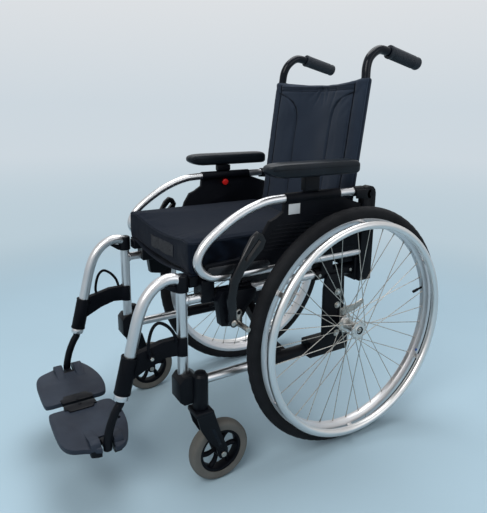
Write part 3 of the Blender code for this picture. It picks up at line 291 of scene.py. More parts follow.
def woven(name, low, high, threads, weft, bump, sheen):
    """Cloth with fine threads up its height, crossed by a weaker weft, and slow changes of shade."""
    made = Finish(name)
    slow = made.noise(7, 4)
    thread = made.maths("MULTIPLY", made.threads(threads, 0.6, 2.0, "X"), 0.7)
    cross = made.maths("MULTIPLY", made.threads(weft, 0.5, 1.0, "DIAGONAL"), 0.3)
    both = made.maths("ADD", thread, cross)
    tone = made.maths("MULTIPLY", both, made.range(slow, 0.6, 1.3))
    fuzz = made.bump(made.noise(1400, 2), 0.12, 0.0004)
    return made.done({
        "Base Color": made.ramp(tone, low, high, (0.1, 0.9)), "Roughness": made.range(slow, 0.78, 0.95),
        "Specular IOR Level": 0.05, "Sheen Weight": sheen, "Sheen Roughness": 0.45,
        "Normal": made.bump(both, bump, 0.0005, Normal=fuzz),
    })


def mesh_fabric():
    """Open spacer mesh: small dark holes in a grey net."""
    made = Finish("grey_mesh")
    cells = made.add("ShaderNodeTexVoronoi", {"Vector": made.place, "Scale": 420.0}, feature="F1")
    cells = cells.outputs["Distance"]
    return made.done({
        "Base Color": made.ramp(cells, (0.005, 0.006, 0.008), (0.052, 0.053, 0.058), (0.25, 0.55)),
        "Specular IOR Level": 0.08, "Roughness": 0.85, "Normal": made.bump(cells, 0.5, 0.0008),
    })


SILVER = metal("satin_silver", (0.52, 0.53, 0.54), (0.64, 0.64, 0.65), (0.27, 0.36))
BRIGHT = metal("bright_aluminium", (0.64, 0.64, 0.64), (0.72, 0.72, 0.71), (0.26, 0.33))
RIM_METAL = metal("rim_aluminium", (0.56, 0.56, 0.57), (0.64, 0.64, 0.65), (0.32, 0.42))
STEEL = metal("spoke_steel", (0.34, 0.32, 0.29), (0.48, 0.46, 0.42), (0.22, 0.34), (1, 8, 1))
HUB_METAL = metal("hub_alloy", (0.56, 0.56, 0.55), (0.68, 0.68, 0.66), (0.32, 0.45))
GLOSS_BLACK = plastic(
    "gloss_black_tube", (0.0015, 0.003, 0.0062), (0.0035, 0.006, 0.011), (0.08, 0.14), 300, 0.01, 0, 0.15)
BLACK = plastic("black_plastic", (0.0012, 0.0018, 0.0034), (0.0038, 0.0048, 0.0074), (0.34, 0.48), 1100, 0.08)
SOFT_BLACK = plastic(
    "soft_black", (0.001, 0.0015, 0.003), (0.0032, 0.004, 0.0066), (0.44, 0.58), 1500, 0.12, 0, 0.08)
FOAM = plastic(
    "armrest_foam", (0.0038, 0.0062, 0.0095), (0.009, 0.0132, 0.0185), (0.3, 0.4), 700, 0.1, 0, 0.16)
GRIP = plastic(
    "grip_rubber", (0.008, 0.011, 0.016), (0.018, 0.0235, 0.032), (0.48, 0.62), 1300, 0.12, 0, 0.24)
TYRE = plastic("tyre_rubber", (0.005, 0.0054, 0.0066), (0.0125, 0.0132, 0.0152), (0.6, 0.78), 800, 0.18)
LEVER_BLACK = plastic(
    "lever_black", (0.0014, 0.002, 0.0034), (0.004, 0.005, 0.0074), (0.2, 0.28), 500, 0.03, 0.08, 0.28)
CASTER_GREY = plastic("caster_rubber", (0.092, 0.088, 0.08), (0.135, 0.13, 0.12), (0.6, 0.75), 900, 0.18)
FOOT_GREY = plastic(
    "footplate_plastic", (0.014, 0.019, 0.03), (0.027, 0.036, 0.053), (0.44, 0.6), 620, 0.5, 0, 0.16)
RED = plastic("red_plastic", (0.46, 0.01, 0.01), (0.62, 0.018, 0.016), (0.25, 0.35), 600, 0.02, 0.3)
BLUE = plastic("blue_mark", (0.02, 0.07, 0.3), (0.03, 0.1, 0.38), (0.3, 0.4), 600, 0.02)
PALE = plastic("pale_label", (0.46, 0.47, 0.48), (0.56, 0.57, 0.58), (0.4, 0.5), 500, 0.03)
PLAQUE = plastic("plaque", (0.008, 0.009, 0.011), (0.016, 0.017, 0.02), (0.22, 0.32), 900, 0.02, 0, 0.25)
BACK_CLOTH = woven("back_fabric", (0.01, 0.0145, 0.024), (0.04, 0.0535, 0.079), 210.0, 95.0, 0.35, 0.07)
EDGE_CLOTH = woven("edge_fabric", (0.0045, 0.0065, 0.011), (0.013, 0.018, 0.028), 160.0, 160.0, 0.25, 0.05)
SEAT_CLOTH = woven("seat_fabric", (0.0024, 0.0041, 0.0084), (0.0084, 0.0134, 0.0242), 190.0, 170.0, 0.3, 0.05)
# Near-black thread: real stitching, whose near-black colour also paints the shade in the back's seam grooves.
THREAD_AND_SEAM_SHADE = plastic(
    "sewing_thread_and_painted_seam_shade", (0.0012, 0.0018, 0.0034), (0.004, 0.0052, 0.008), (0.6, 0.7), 2000, 0.2, 0, 0.06)
GREY_MESH = mesh_fabric()


# Mesh helpers


def placed(data, name="piece"):
    obj = bpy.data.objects.new(name, data)
    bpy.context.scene.collection.objects.link(obj)
    return obj


def from_bmesh(body, outward=True):
    if outward:
        bmesh.ops.recalc_face_normals(body, faces=body.faces)
    mesh = bpy.data.meshes.new("piece")
    body.to_mesh(mesh)
    body.free()
    return placed(mesh)


def applied(obj):
    """The object with its modifiers turned into a plain mesh."""
    bpy.context.view_layer.update()
    graph = bpy.context.evaluated_depsgraph_get()
    mesh = bpy.data.meshes.new_from_object(obj.evaluated_get(graph))
    mesh.transform(obj.matrix_world)
    bpy.data.objects.remove(obj, do_unlink=True)
    return placed(mesh)


def modified(obj, kind, **settings):
    """The object with one modifier applied."""
    modifier = obj.modifiers.new("change", kind)
    for key, value in settings.items():
        setattr(modifier, key, value)
    return applied(obj)


def shaded(obj, angle=35.0):
    obj.data.shade_smooth()
    obj.data.set_sharp_from_angle(angle=math.radians(angle))
    return obj


def rounded(obj, width, segments=2, angle=35.0):
    """Rounds the edges sharper than an angle."""
    return shaded(modified(
        obj, "BEVEL", width=width, segments=segments, limit_method="ANGLE", angle_limit=math.radians(angle),
        use_clamp_overlap=True,
    ))


def joined(*objs):
    body = bmesh.new()
    for obj in objs:
        body.from_mesh(obj.data)
        bpy.data.objects.remove(obj, do_unlink=True)
    return shaded(from_bmesh(body, outward=False))


def skin(rings, closed=False):
    """A surface through rings of the same number of points; closed joins the last ring to the first."""
    body = bmesh.new()
    rows = [[body.verts.new(p) for p in ring] for ring in rings]
    pairs = list(zip(rows, rows[1:]))
    if closed:
        pairs.append((rows[-1], rows[0]))
    count = len(rings[0])
    for first, second in pairs:
        for k in range(count):
            body.faces.new((first[k], first[(k + 1) % count], second[(k + 1) % count], second[k]))
    if not closed:
        body.faces.new(rows[0])
        body.faces.new(rows[-1])
    return from_bmesh(body)


def circle(steps):
    """Cosine and sine of equal steps round a circle."""
    angles = [2 * math.pi * i / steps for i in range(steps)]
    return [(math.cos(angle), math.sin(angle)) for angle in angles]


def squarish(steps, power):
    """Points round a square of half width one with rounded corners."""
    return [(math.copysign(abs(c) ** power, c), math.copysign(abs(s) ** power, s)) for c, s in circle(steps)]


def symmetric(half):
    """A closed profile from the half of it with positive places along X, outside first."""
    return half + [(radius, -x) for radius, x in reversed(half)]


def turned(profile, centre, steps=96, carve=None):
    """A closed profile of (radius, place along X) turned about the X axis through a centre."""
    rings = []
    for i, (c, s) in enumerate(circle(steps)):
        ring = []
        for k, (radius, x) in enumerate(profile):
            radius += carve(i, k) if carve else 0
            ring.append(centre + Vector((x, radius * c, radius * s)))
        rings.append(ring)
    return shaded(skin(rings, closed=True))


def turned_along(profile, start, along, steps=32):
    """A profile of (radius, distance) turned about the line from start along a direction."""
    along = along.normalized()
    side = along.orthogonal().normalized()
    other = along.cross(side)
    return shaded(skin([
        [start + along * distance + (side * c + other * s) * radius for c, s in circle(steps)]
        for radius, distance in profile
    ]))


def rod(start, end, radius, steps=24, end_radius=None, edge=0.0):
    """A round bar with small chamfers at its ends."""
    length = (end - start).length
    last = end_radius or radius
    edge = edge or min(radius, length) * 0.08
    profile = [(radius - edge, 0), (radius, edge), (last, length - edge), (last - edge, length)]
    return turned_along(profile, start, end - start, steps)


def stud(low, high, y, z, radius, steps=24, edge=0.0):
    """A round bar along X."""
    return rod(at(low, y, z), at(high, y, z), radius, steps, edge=edge)


def curved(points, steps=6):
    """Points of a Catmull-Rom curve through the given ones."""
    points = [Vector(p) for p in points]
    ends = [2 * points[0] - points[1]] + points + [2 * points[-1] - points[-2]]
    path = []
    for a, b, c, d in zip(ends, ends[1:], ends[2:], ends[3:]):
        for i in range(steps):
            t = i / steps
            square, cube = 2 * a - 5 * b + 4 * c - d, 3 * b - a - 3 * c + d
            path.append(0.5 * (2 * b + (c - a) * t + square * t**2 + cube * t**3))
    path.append(points[-1])
    return path


def curved_at(x, points):
    """Places of a curve through points of (y, z), at one distance across."""
    return [at(x, p.x, p.y) for p in curved(points)]


def swept(path, radius, steps=24, up=ACROSS):
    """A tube along a path. A radius function of the share of the path may stand for a number."""
    rings = []
    before = up
    for i, spot in enumerate(path):
        along = (path[min(i + 1, len(path) - 1)] - path[max(i - 1, 0)]).normalized()
        side = along.cross(before)
        if side.length < 1e-4:
            side = along.orthogonal()
        side.normalize()
        before = side.cross(along).normalized()
        size = radius(i / (len(path) - 1)) if callable(radius) else radius
        rings.append([spot + side * c * size + before * s * size for c, s in circle(steps)])
    return shaded(skin(rings), 50)


def cord(path, radius):
    """A thin thread along a path."""
    return swept(path, radius, 8, UP)


def plate(outline, low, high, bevel, axis="X"):
    """An outline extruded between two values of an axis, with rounded edges, in places from the rear axle."""
    body = bmesh.new()
    order = {
        "X": lambda u, v, s: at(s, u, v), "Y": lambda u, v, s: at(u, s, v), "Z": lambda u, v, s: at(u, v, s),
    }[axis]
    bottom, top = ([body.verts.new(order(u, v, s)) for u, v in outline] for s in (low, high))
    body.faces.new(bottom)
    body.faces.new(top)
    count = len(outline)
    for k in range(count):
        body.faces.new((bottom[k], bottom[(k + 1) % count], top[(k + 1) % count], top[k]))
    return rounded(from_bmesh(body), bevel, 2, 28)


def block(low, high, bevel=0.001):
    outline = [low[1:], (high[1], low[2]), high[1:], (low[1], high[2])]
    return plate(outline, low[0], high[0], bevel)


def cut(obj, cutter):
    obj = modified(obj, "BOOLEAN", operation="DIFFERENCE", object=cutter)
    bpy.data.objects.remove(cutter, do_unlink=True)
    return shaded(obj)


def mirrored(obj):
    mesh = obj.data.copy()
    mesh.transform(Matrix.Diagonal((-1, 1, 1, 1)))
    mesh.flip_normals()
    return placed(mesh)


def dressed(node, width):
    """A copy of a CAD node's mesh with its edges rounded and its curved faces smooth."""
    body = bmesh.new()
    body.from_mesh(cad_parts[node].data)
    bmesh.ops.remove_doubles(body, verts=body.verts, dist=1e-5)
    bmesh.ops.dissolve_limit(body, angle_limit=math.radians(1.5), verts=body.verts, edges=body.edges)
    return rounded(from_bmesh(body), width)


def fit(obj, name, body, finish, node=None):
    """Names a piece, gives it its finish and its body; a piece that bends between two bodies rides on none.

    A piece stands for the CAD node that is named, or else for the one that has the piece's own name.
    """
    obj.name = name
    obj.data.name = name
    obj.data.materials.clear()
    obj.data.materials.append(finish)
    if body:
        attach(obj, body)
    node = node or name
    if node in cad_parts:
        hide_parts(node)
    return obj


def fit_pair(piece, name, body, finish, node=None):
    """The left piece, made of one object or a list of them, and its mirror image, each on its side's body."""
    if isinstance(piece, list):
        piece = joined(*piece)
    twin = mirrored(piece)
    for obj, side in ((piece, "left"), (twin, "right")):
        fit(obj, f"{name}_{side}", f"{body}_{side}", finish, node and f"{node}_{side}")


def dress_pairs(width, body, finish, *nodes):
    """Pairs of CAD nodes shown in their own shape, with rounded edges."""
    for node in nodes:
        fit_pair(dressed(f"{node}_left", width), node, body, finish)


# Rear wheels


def round_axle(x, radius, degrees):
    """A place on the wheel: degrees from straight back, towards the top."""
    angle = math.radians(degrees)
    return at(x, radius * math.cos(angle), AXLE.z + radius * math.sin(angle))


def build_tyre():
    """A slightly peaked tread with two rows of slanted cuts, smooth sidewalls with a fine ring."""
    side = (10, 26, 30, 44, 48, 60, 72, 80, 88, 110, 132)
    spread = [-degrees for degrees in reversed(side)] + [0, *side]
    cuts = {                   # depth, and shift of the far side's cuts
        10: (0.0009, 1), 26: (0.0009, 1), 30: (0.0011, 2), 44: (0.0011, 2),
    }
    profile = []
    for degrees in spread:
        angle = math.radians(degrees)
        size = TYRE_RADIUS * (0.975 if abs(degrees) == 80 else 1.0)
        profile.append((WHEEL_RADIUS - TYRE_RADIUS + size * math.cos(angle), size * math.sin(angle) * 0.97))

    def tread(i, k):
        depth, shift = cuts.get(abs(spread[k]), (0, 0))
        return -depth if (i + shift * (spread[k] > 0)) % 4 < 2 else 0

    return turned(profile, AXLE, 288, tread)


def build_rim():
    """Double-wall rim with bead hooks."""
    low, high, half = RIM_INNER, RIM_RADIUS, RIM_HALF_WIDTH
    return turned(symmetric([
        (high - 0.004, half - 0.003), (high + 0.0035, half - 0.0014), (high + 0.0035, half),
        (high - 0.0065, half), (high - 0.0085, half - 0.0008), (low + 0.004, 0.0085), (low + 0.001, 0.0068),
        (low, 0.004),
    ]), AXLE, 192)


def build_spokes():
    """Spokes with bent heads, leaning both ways from each flange, and their nipples in the rim."""
    rods, nipples = [], []
    pitch = 720 / SPOKES
    for flange_x, shift in zip(FLANGE_X, (0, pitch / 2)):
        for k in range(SPOKES // 2):
            lean = 1 if k % 2 else -1
            start = pitch * k + shift
            near, head = (round_axle(flange_x + 0.0021 * way, SPOKE_HOLES, start) for way in (lean, -lean))
            far = round_axle(AXLE.x, RIM_INNER + 0.001, start + lean * SPOKE_CROSSINGS * pitch)
            along = (far - near).normalized()
            rods.append(rod(near, far - along * 0.007, SPOKE_RADIUS, 10))
            rods.append(rod(near + along * 0.002, near - along * 0.0015, SPOKE_RADIUS * 1.35, 10))
            rods.append(rod(near, head, SPOKE_RADIUS * 1.1, 10))
            nipples.append(rod(far - along * 0.0085, far + along * 0.001, 0.0013, 10, 0.0019))
    fit_pair(rods, "spokes", "wheel", STEEL, node="hub_and_spokes")
    fit_pair(nipples, "nipples", "wheel", STEEL)


def build_hub():
    """Shell waisted between two scalloped flanges."""
    pieces = [turned(symmetric([
        (0.0118, 0.014), (0.014, 0.02), (0.0165, 0.021), (0.0165, 0.025), (HUB_RADIUS, 0.0252),
        (HUB_RADIUS, HUB_HALF - 0.0006), (HUB_RADIUS - 0.0006, HUB_HALF), (0.01, HUB_HALF),
    ]), at(HUB_X, 0, AXLE.z), 72)]
    for x in FLANGE_X:
        pieces.append(shaded(skin([
            [round_axle(x + shift, FLANGE_RADIUS - inset + 0.0006 * (math.cos(math.pi * i / 8) - 1), 2.5 * i)
             for i in range(144)]
            for shift, inset in ((-0.002, 0.0006), (-0.0014, 0), (0.0014, 0), (0.002, 0.0006))
        ])))
    return pieces


def build_handrim():
    """Round handrim with its tabs."""
    hoop = [(HANDRIM_RADIUS + HANDRIM_TUBE * c, HANDRIM_TUBE * s) for c, s in circle(24)]
    pieces = [turned(hoop, at(HANDRIM_X, 0, AXLE.z), 192)]
    sections = (               # x, half width, half thickness, lift
        (AXLE.x + RIM_HALF_WIDTH + 0.0004, 0.007, 0.0028, 0.0042), (0.274, 0.006, 0.0024, 0.004),
        (0.281, 0.0064, 0.0028, 0.003), (HANDRIM_X - 0.003, 0.0075, 0.0045, 0.001),
    )
    for k in range(HANDRIM_TABS):
        degrees = 360 / HANDRIM_TABS * (k + 0.5)
        radial = (round_axle(0, 1, degrees) - round_axle(0, 0, 0)).normalized()
        tangent = radial.cross(ACROSS)
        pieces.append(shaded(skin([
            [round_axle(x, HANDRIM_RADIUS, degrees) + tangent * u * wide + radial * (lift + v * thick)
             for u, v in squarish(20, 0.4)]
            for x, wide, thick, lift in sections
        ])))
    return pieces


def build_wheels():
    fit_pair(build_tyre(), "tyre", "wheel", TYRE, node="rear_tyre")
    fit_pair(build_rim(), "rim", "wheel", RIM_METAL, node="rear_rim")
    build_spokes()
    fit_pair(build_hub(), "hub", "wheel", HUB_METAL)
    fit_pair(build_handrim(), "handrim", "wheel", BRIGHT)
    recess = turned([
        (0.0046, HUB_HALF - 0.0055), (0.0098, HUB_HALF - 0.0055), (0.0098, HUB_HALF + 0.0004),
        (0.0086, HUB_HALF + 0.0004), (0.0062, HUB_HALF - 0.003), (0.0046, HUB_HALF - 0.003),
    ], at(HUB_X, 0, AXLE.z), 48)
    fit_pair(recess, "hub_recess", "wheel", BLACK)
    valve = [
        rod(*(round_axle(AXLE.x, RIM_INNER + rise, VALVE_ANGLE) for rise in (start, end)), radius, 20)
        for start, end, radius in ((0.002, -0.028, 0.0028), (-0.014, -0.032, 0.0038))
    ]
    fit_pair(valve, "valve", "wheel", BLACK)
    face = AXLE.x + RIM_HALF_WIDTH
    dot = rod(*(round_axle(face + rise, DOT_RADIUS, DOT_ANGLE) for rise in (-0.0006, 0.0005)), 0.0035, 24)
    fit_pair(dot, "rim_dot", "wheel", BLUE)
    seam = [round_axle(face + 0.0001, radius, JOINT_ANGLE) for radius in (RIM_INNER + 0.0105, 0.2755)]
    fit_pair(cord(seam, 0.0004), "rim_seam", "wheel", BLACK)
    dress_pairs(0.0005, "axle_button", STEEL, "axle_button")


# Frame


def build_side_frame():
    """Front post with its two rails and a rounded weld bead round each."""
    low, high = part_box("side_frame_left")
    pieces = [rod(at(RAIL_X, POST_Y, low.z + 0.004), at(RAIL_X, POST_Y, high.z), 0.012, 40)]
    bead = [(0.0108, 0), (0.0132, 0.0012), (0.0128, 0.0034), (0.0108, 0.005)]
    for z, end in zip(reversed(RAIL_Z), (0.066, 0.01)):
        pieces.append(rod(at(RAIL_X, POST_Y, z), at(RAIL_X, end, z), 0.011, 40))
        pieces.append(turned_along(bead, at(RAIL_X, POST_Y + 0.0105, z), BEHIND))
    return pieces


def build_frame():
    fit_pair(build_side_frame(), "side_frame", "frame", SILVER)
    plug = turned_along([
        (0.0095, 0.007), (0.0116, 0.007), (0.0122, 0.0045), (0.0118, 0.0015), (0.01, 0.0003), (0.004, 0.0003),
    ], at(RAIL_X, POST_Y, 0.1978), UP)
    fit_pair(plug, "post_plug", "frame", BLACK)
    dress_pairs(0.0009, "frame", BLACK, "axle_plate")
    dress_pairs(0.001, "frame", BLACK, "guard_receiver", "brake_mount", "caster_housing")
    bolts = ((-0.012, 0.384), (-0.011, 0.349), (-0.01, 0.272))
    washers = [stud(PLATE_FACE, PLATE_FACE + 0.0016, y, z, 0.0088, 40) for y, z in bolts]
    fit_pair(washers, "plate_washers", "frame", STEEL)
    heads = [stud(PLATE_FACE + 0.001, PLATE_FACE + 0.005, y, z, 0.005, 6) for y, z in bolts]
    fit_pair(heads, "plate_bolts", "frame", HUB_METAL)
    bracket = plate([
        (-0.004, 0.322), (0.012, 0.316), (0.052, 0.324), (0.078, 0.338), (0.079, 0.346), (0.073, 0.35),
        (0.046, 0.341), (0.012, 0.34), (-0.004, 0.336),
    ], PLATE_FACE + 0.0002, PLATE_FACE + 0.0032, 0.0008)
    fit_pair(bracket, "plate_bracket", "frame", STEEL)
    screws = (
        (0.2015, -0.066, 0.434), (0.2015, 0.034, 0.434), (0.2025, -0.35, 0.4335), (0.2025, -0.276, 0.4335),
    )
    fit_pair([stud(x, x + 0.0022, y, z, 0.0042) for x, y, z in screws], "clamp_screws", "frame", STEEL)
    ribs = [block((PLATE_FACE - 0.0002, -0.045, z), (PLATE_FACE + 0.001, 0.004, z + 0.0022), 0.0005)
            for z in (0.288, 0.318, 0.404, 0.414)]
    fit_pair(ribs, "plate_ribs", "frame", BLACK)


def build_handles():
    bend = [
        BACK_TOP, (HANDLE_X + 0.004, 0.077, 0.936), (HANDLE_X + 0.001, 0.09, 0.959), (HANDLE_X, 0.117, 0.976),
        (HANDLE_X, *GRIP_START),
    ]
    start, end = at(HANDLE_X, *GRIP_START), at(HANDLE_X, *GRIP_END)
    path = [at(*BACK_FOOT)] + [at(*p) for p in curved(bend, 8)] + [start.lerp(end, 0.9)]
    fit_pair(swept(path, CANE_RADIUS, 32), "back_tube", "frame", GLOSS_BLACK)
    length = (end - start).length
    profile = [(0.0112, 0.0015), (0.016, 0.0015), (0.017, 0.0027), (0.017, 0.0078), (0.0162, 0.009)]
    first = len(profile)
    for k in range(GRIP_RINGS):
        near = 0.0135 + k * 0.0058
        profile += [(0.0154, near), (0.0164, near + 0.0008), (0.0164, near + 0.0036), (0.0154, near + 0.0044)]
    profile += [
        (0.0158, length - 0.008), (0.0165, length - 0.007), (0.0165, length - 0.003),
        (0.0155, length - 0.0008), (0.0125, length), (0.006, length - 0.0006),
    ]
    grip = turned_along(profile, start, end - start, GRIP_STEPS)
    for i, vertex in enumerate(grip.data.vertices):      # a smooth strip along both sides
        ring, step = divmod(i, GRIP_STEPS)
        if 0 <= ring - first < 4 * GRIP_RINGS and step % (GRIP_STEPS // 2) < 3:
            spot = start.lerp(end, profile[ring][1] / length)
            vertex.co = spot + (vertex.co - spot) * (0.0161 / profile[ring][0])
    fit_pair(grip, "push_grip", "frame", GRIP)


def build_casters():
    profile = [(CASTER_RIM, -CASTER_HALF + 0.002)]
    for degrees in (-88, -75, -60, -40, -20, 0, 20, 40, 60, 75, 88):
        angle = math.radians(degrees)
        out = CASTER_HALF * abs(math.sin(angle)) ** 0.75
        profile.append((CASTER_RADIUS - 0.01 + 0.01 * math.cos(angle) ** 0.8, math.copysign(out, degrees)))
    profile.append((CASTER_RIM, CASTER_HALF - 0.002))
    fit_pair(turned(profile, CASTER), "caster_tyre", "caster_wheel", CASTER_GREY)
    pieces = [turned(symmetric([
        (0.0516, 0.0105), (0.0514, 0.012), (0.049, 0.0124), (0.0452, 0.012), (0.0442, 0.01), (0.0436, 0.003),
    ]), CASTER), turned(symmetric([
        (0.0134, 0.006), (0.0128, 0.015), (0.011, 0.0163), (0.0046, 0.0163),
    ]), CASTER, 48)]
    for c, s in circle(6):
        out, side = Vector((0, c, s)), Vector((0, -s, c))
        bend = ((0.01, -0.002), (0.02, 0.0025), (0.032, 0.004), (0.0462, 0.001))
        path = curved([CASTER + out * far + side * off for far, off in bend], 5)
        pieces.append(swept(path, lambda t: 0.0048 + 0.0016 * t, 16))
    fit_pair(pieces, "caster_rim", "caster_wheel", SOFT_BLACK)
    dress_pairs(0.0012, "caster_swivel", BLACK, "caster_fork")
    cap = [(0.002, 0.0), (0.0066, 0.0), (0.0062, 0.0012), (0.0035, 0.0016)]
    caps = [turned_along(cap, CASTER + side * 0.0262 * ACROSS, side * ACROSS) for side in (-1, 1)]
    fit_pair(caps, "caster_bolt_caps", "caster_swivel", STEEL)
    leg = CASTER.x + 0.0235
    y, z = CASTER.y - AXLE.y, CASTER.z
    inset = [(y - 0.03, z + 0.072), (y - 0.022, z + 0.072), (y - 0.004, z + 0.026), (y - 0.011, z + 0.024)]
    washer = [(0.0072, leg - 0.0003), (0.0105, leg - 0.0003), (0.0105, leg + 0.0006), (0.0072, leg + 0.0006)]
    insets = [plate(inset, leg - 0.0002, leg + 0.0005, 0.0002), turned(washer, at(0, y, z), 40)]
    fit_pair(insets, "caster_fork_insets", "caster_swivel", GLOSS_BLACK)
    stem_cap = turned_along([
        (0.002, 0.0), (0.0118, 0.0), (0.0125, 0.0012), (0.011, 0.0024), (0.004, 0.003),
    ], at(CASTER.x, -0.405, 0.2758), UP, 40)
    fit_pair(stem_cap, "stem_cap", "frame", SOFT_BLACK)


def build_brakes():
    dress_pairs(0.0007, "brake_shoe", STEEL, "brake_shoe")
    dress_pairs(0.0014, "brake_lever", LEVER_BLACK, "brake_lever")
    ridges = []
    along = Vector((0, 0.04, 0.046)).normalized()
    over = Vector((0, -along.z, along.y)) * 0.0088
    for k in range(7):
        spot = at(0.24, -0.2985, 0.5335) + along * (0.0045 * k) + over
        ridges.append(rod(spot - 0.0058 * ACROSS, spot + 0.0058 * ACROSS, 0.0011, 10))
    fit_pair(ridges, "brake_ridges", "brake_lever", SOFT_BLACK)
    knob = [(0.003, 0), (0.0066, 0), (0.007, 0.0012), (0.0052, 0.0026), (0.002, 0.0028)]
    cap = turned_along(knob, at(0.2448, -0.334, 0.384), ACROSS)
    fit_pair(cap, "brake_pivot_cap", "brake_lever", STEEL)


# Side guards and armrests


def build_guards():
    nose = [
        (-0.34, 0.48), (-0.372, 0.485), (-0.395, 0.502), (-0.401, 0.526), (-0.383, 0.557), (-0.34, 0.59),
        (-0.29, 0.617), (-0.236, 0.634), (-0.184, GUARD_TOP),
    ]
    path = [at(GUARD_X, 0.0496, 0.482), at(GUARD_X, -0.2, 0.4812), *curved_at(GUARD_X, nose)]
    path.append(at(GUARD_X, 0.03, GUARD_TOP))
    fit_pair([swept(path, 0.01, 32), stud(0.206, 0.2205, *GUARD_HINGE, 0.004)], "guard_tube", "guard", SILVER)
    strap = (0.2183, 0.2223)
    hinge = [
        rod(at(GUARD_X, 0.02, GUARD_TOP), at(GUARD_X, 0.0497, GUARD_TOP), 0.0125, 40, edge=0.0012),
        stud(*strap, *GUARD_HINGE, 0.013, 40),
        plate([(0.022, 0.622), (0.07, 0.618), (0.07, 0.643), (0.022, 0.643)], *strap, 0.001),
    ]
    fit_pair(hinge, "guard_hinge", "guard", BLACK)
    fit_pair(stud(0.2221, 0.2234, *GUARD_HINGE, 0.006, 6), "guard_hinge_bolt", "guard", SOFT_BLACK)
    dress_pairs(0.0014, "guard", SOFT_BLACK, "guard_panel")
    under, over = GUARD_FACE - 0.0004, GUARD_FACE + 0.0014
    louvres = []
    for k in range(7):
        z = 0.524 + 0.0088 * k
        front = -0.242 + 0.03 * (k / 6) ** 1.5
        louvres.append(plate([
            (front, z), (-0.11, z - 0.0012), (-0.109, z + 0.0004), (-0.11, z + 0.002),
            (front + 0.001, z + 0.003),
        ], under, over, 0.0005))
    fit_pair(louvres, "guard_louvres", "guard", BLACK)
    boss = [(0.001, under), (0.0056, under), (0.0052, over), (0.0034, over + 0.0006), (0.001, over + 0.0006)]
    trims = [
        turned(boss, at(0, -0.2455, 0.5025), 32),
        plate([(-0.12, 0.5), (0.03, 0.5), (0.03, 0.504), (-0.116, 0.504)], under, over - 0.0002, 0.0005),
        plate([(-0.1, 0.59), (0.02, 0.59), (0.012, 0.594), (-0.1, 0.594)], under, over - 0.0004, 0.0004),
    ]
    fit_pair(trims, "guard_ribs", "guard", SOFT_BLACK)
    plaque = plate([
        (-0.384, 0.5035), (-0.372, 0.4915), (-0.34, 0.4875), (-0.232, 0.4875), (-0.226, 0.496),
        (-0.232, 0.5055), (-0.31, 0.508), (-0.38, 0.508),
    ], 0.2181, 0.2188, 0.0003)
    fit_pair(plaque, "guard_plaque", "guard", PLAQUE)
    mark = block((GUARD_FACE - 0.0001, -0.176, 0.601), (GUARD_FACE + 0.0006, -0.144, 0.625), 0.0002)
    fit_pair(mark, "guard_blank_mark", "guard", PALE)


def pad_skin(stations, power):
    """A skin through rounded sections of (y, half width, bottom, top)."""
    return skin([
        [at(PAD_X + u * half, y, (low + high) / 2 + v * (high - low) / 2) for u, v in squarish(40, power)]
        for y, half, low, high in stations
    ])


def build_armrests():
    """Moulded foam pads: flat top, tapered raised nose, soft edges, a parting line round the side."""
    low, high, half = 0.686, 0.72, 0.023
    pad = shaded(pad_skin([
        (-0.2449, 0.0045, 0.704, 0.7072), (-0.2442, 0.008, 0.702, 0.7095), (-0.242, 0.0122, 0.6995, 0.7122),
        (-0.238, 0.016, 0.6968, 0.7148), (-0.232, 0.0192, 0.6935, 0.7168), (-0.224, 0.0214, 0.6903, 0.7183),
        (-0.214, 0.0226, 0.6878, 0.7193), (-0.2, half, 0.6863, 0.7199), (-0.16, half, low, high),
        (-0.08, half, low, high), (-0.02, half, low, high), (0.0000, 0.0228, low, 0.7194),
        (0.007, 0.0222, 0.6868, 0.7176), (0.011, 0.0205, 0.689, 0.7145), (0.0128, 0.017, 0.6925, 0.7105),
    ], 0.5), 70)
    seam = pad_skin([(y, 0.0232, 0.7052, 0.7064) for y in (-0.234, -0.1, 0.008)], 0.35)
    right_pad, right_seam = mirrored(pad), mirrored(seam)
    for obj in (right_pad, right_seam):
        obj.data.transform(Matrix.Translation(RIGHT_PAD_SHIFT))
    for side, piece, edge in (("left", pad, seam), ("right", right_pad, right_seam)):
        body = f"armrest_{side}"
        fit(shaded(piece, 70), f"armrest_pad_{side}", body, FOAM)
        fit(edge, f"armrest_pad_seam_{side}", body, SOFT_BLACK)
        fit(dressed(f"armrest_post_{side}", 0.0008), f"armrest_post_{side}", body, BLACK)
        button = f"armrest_button_{side}"
        fit(dressed(button, 0.0008), button, button, RED)


# Legrests


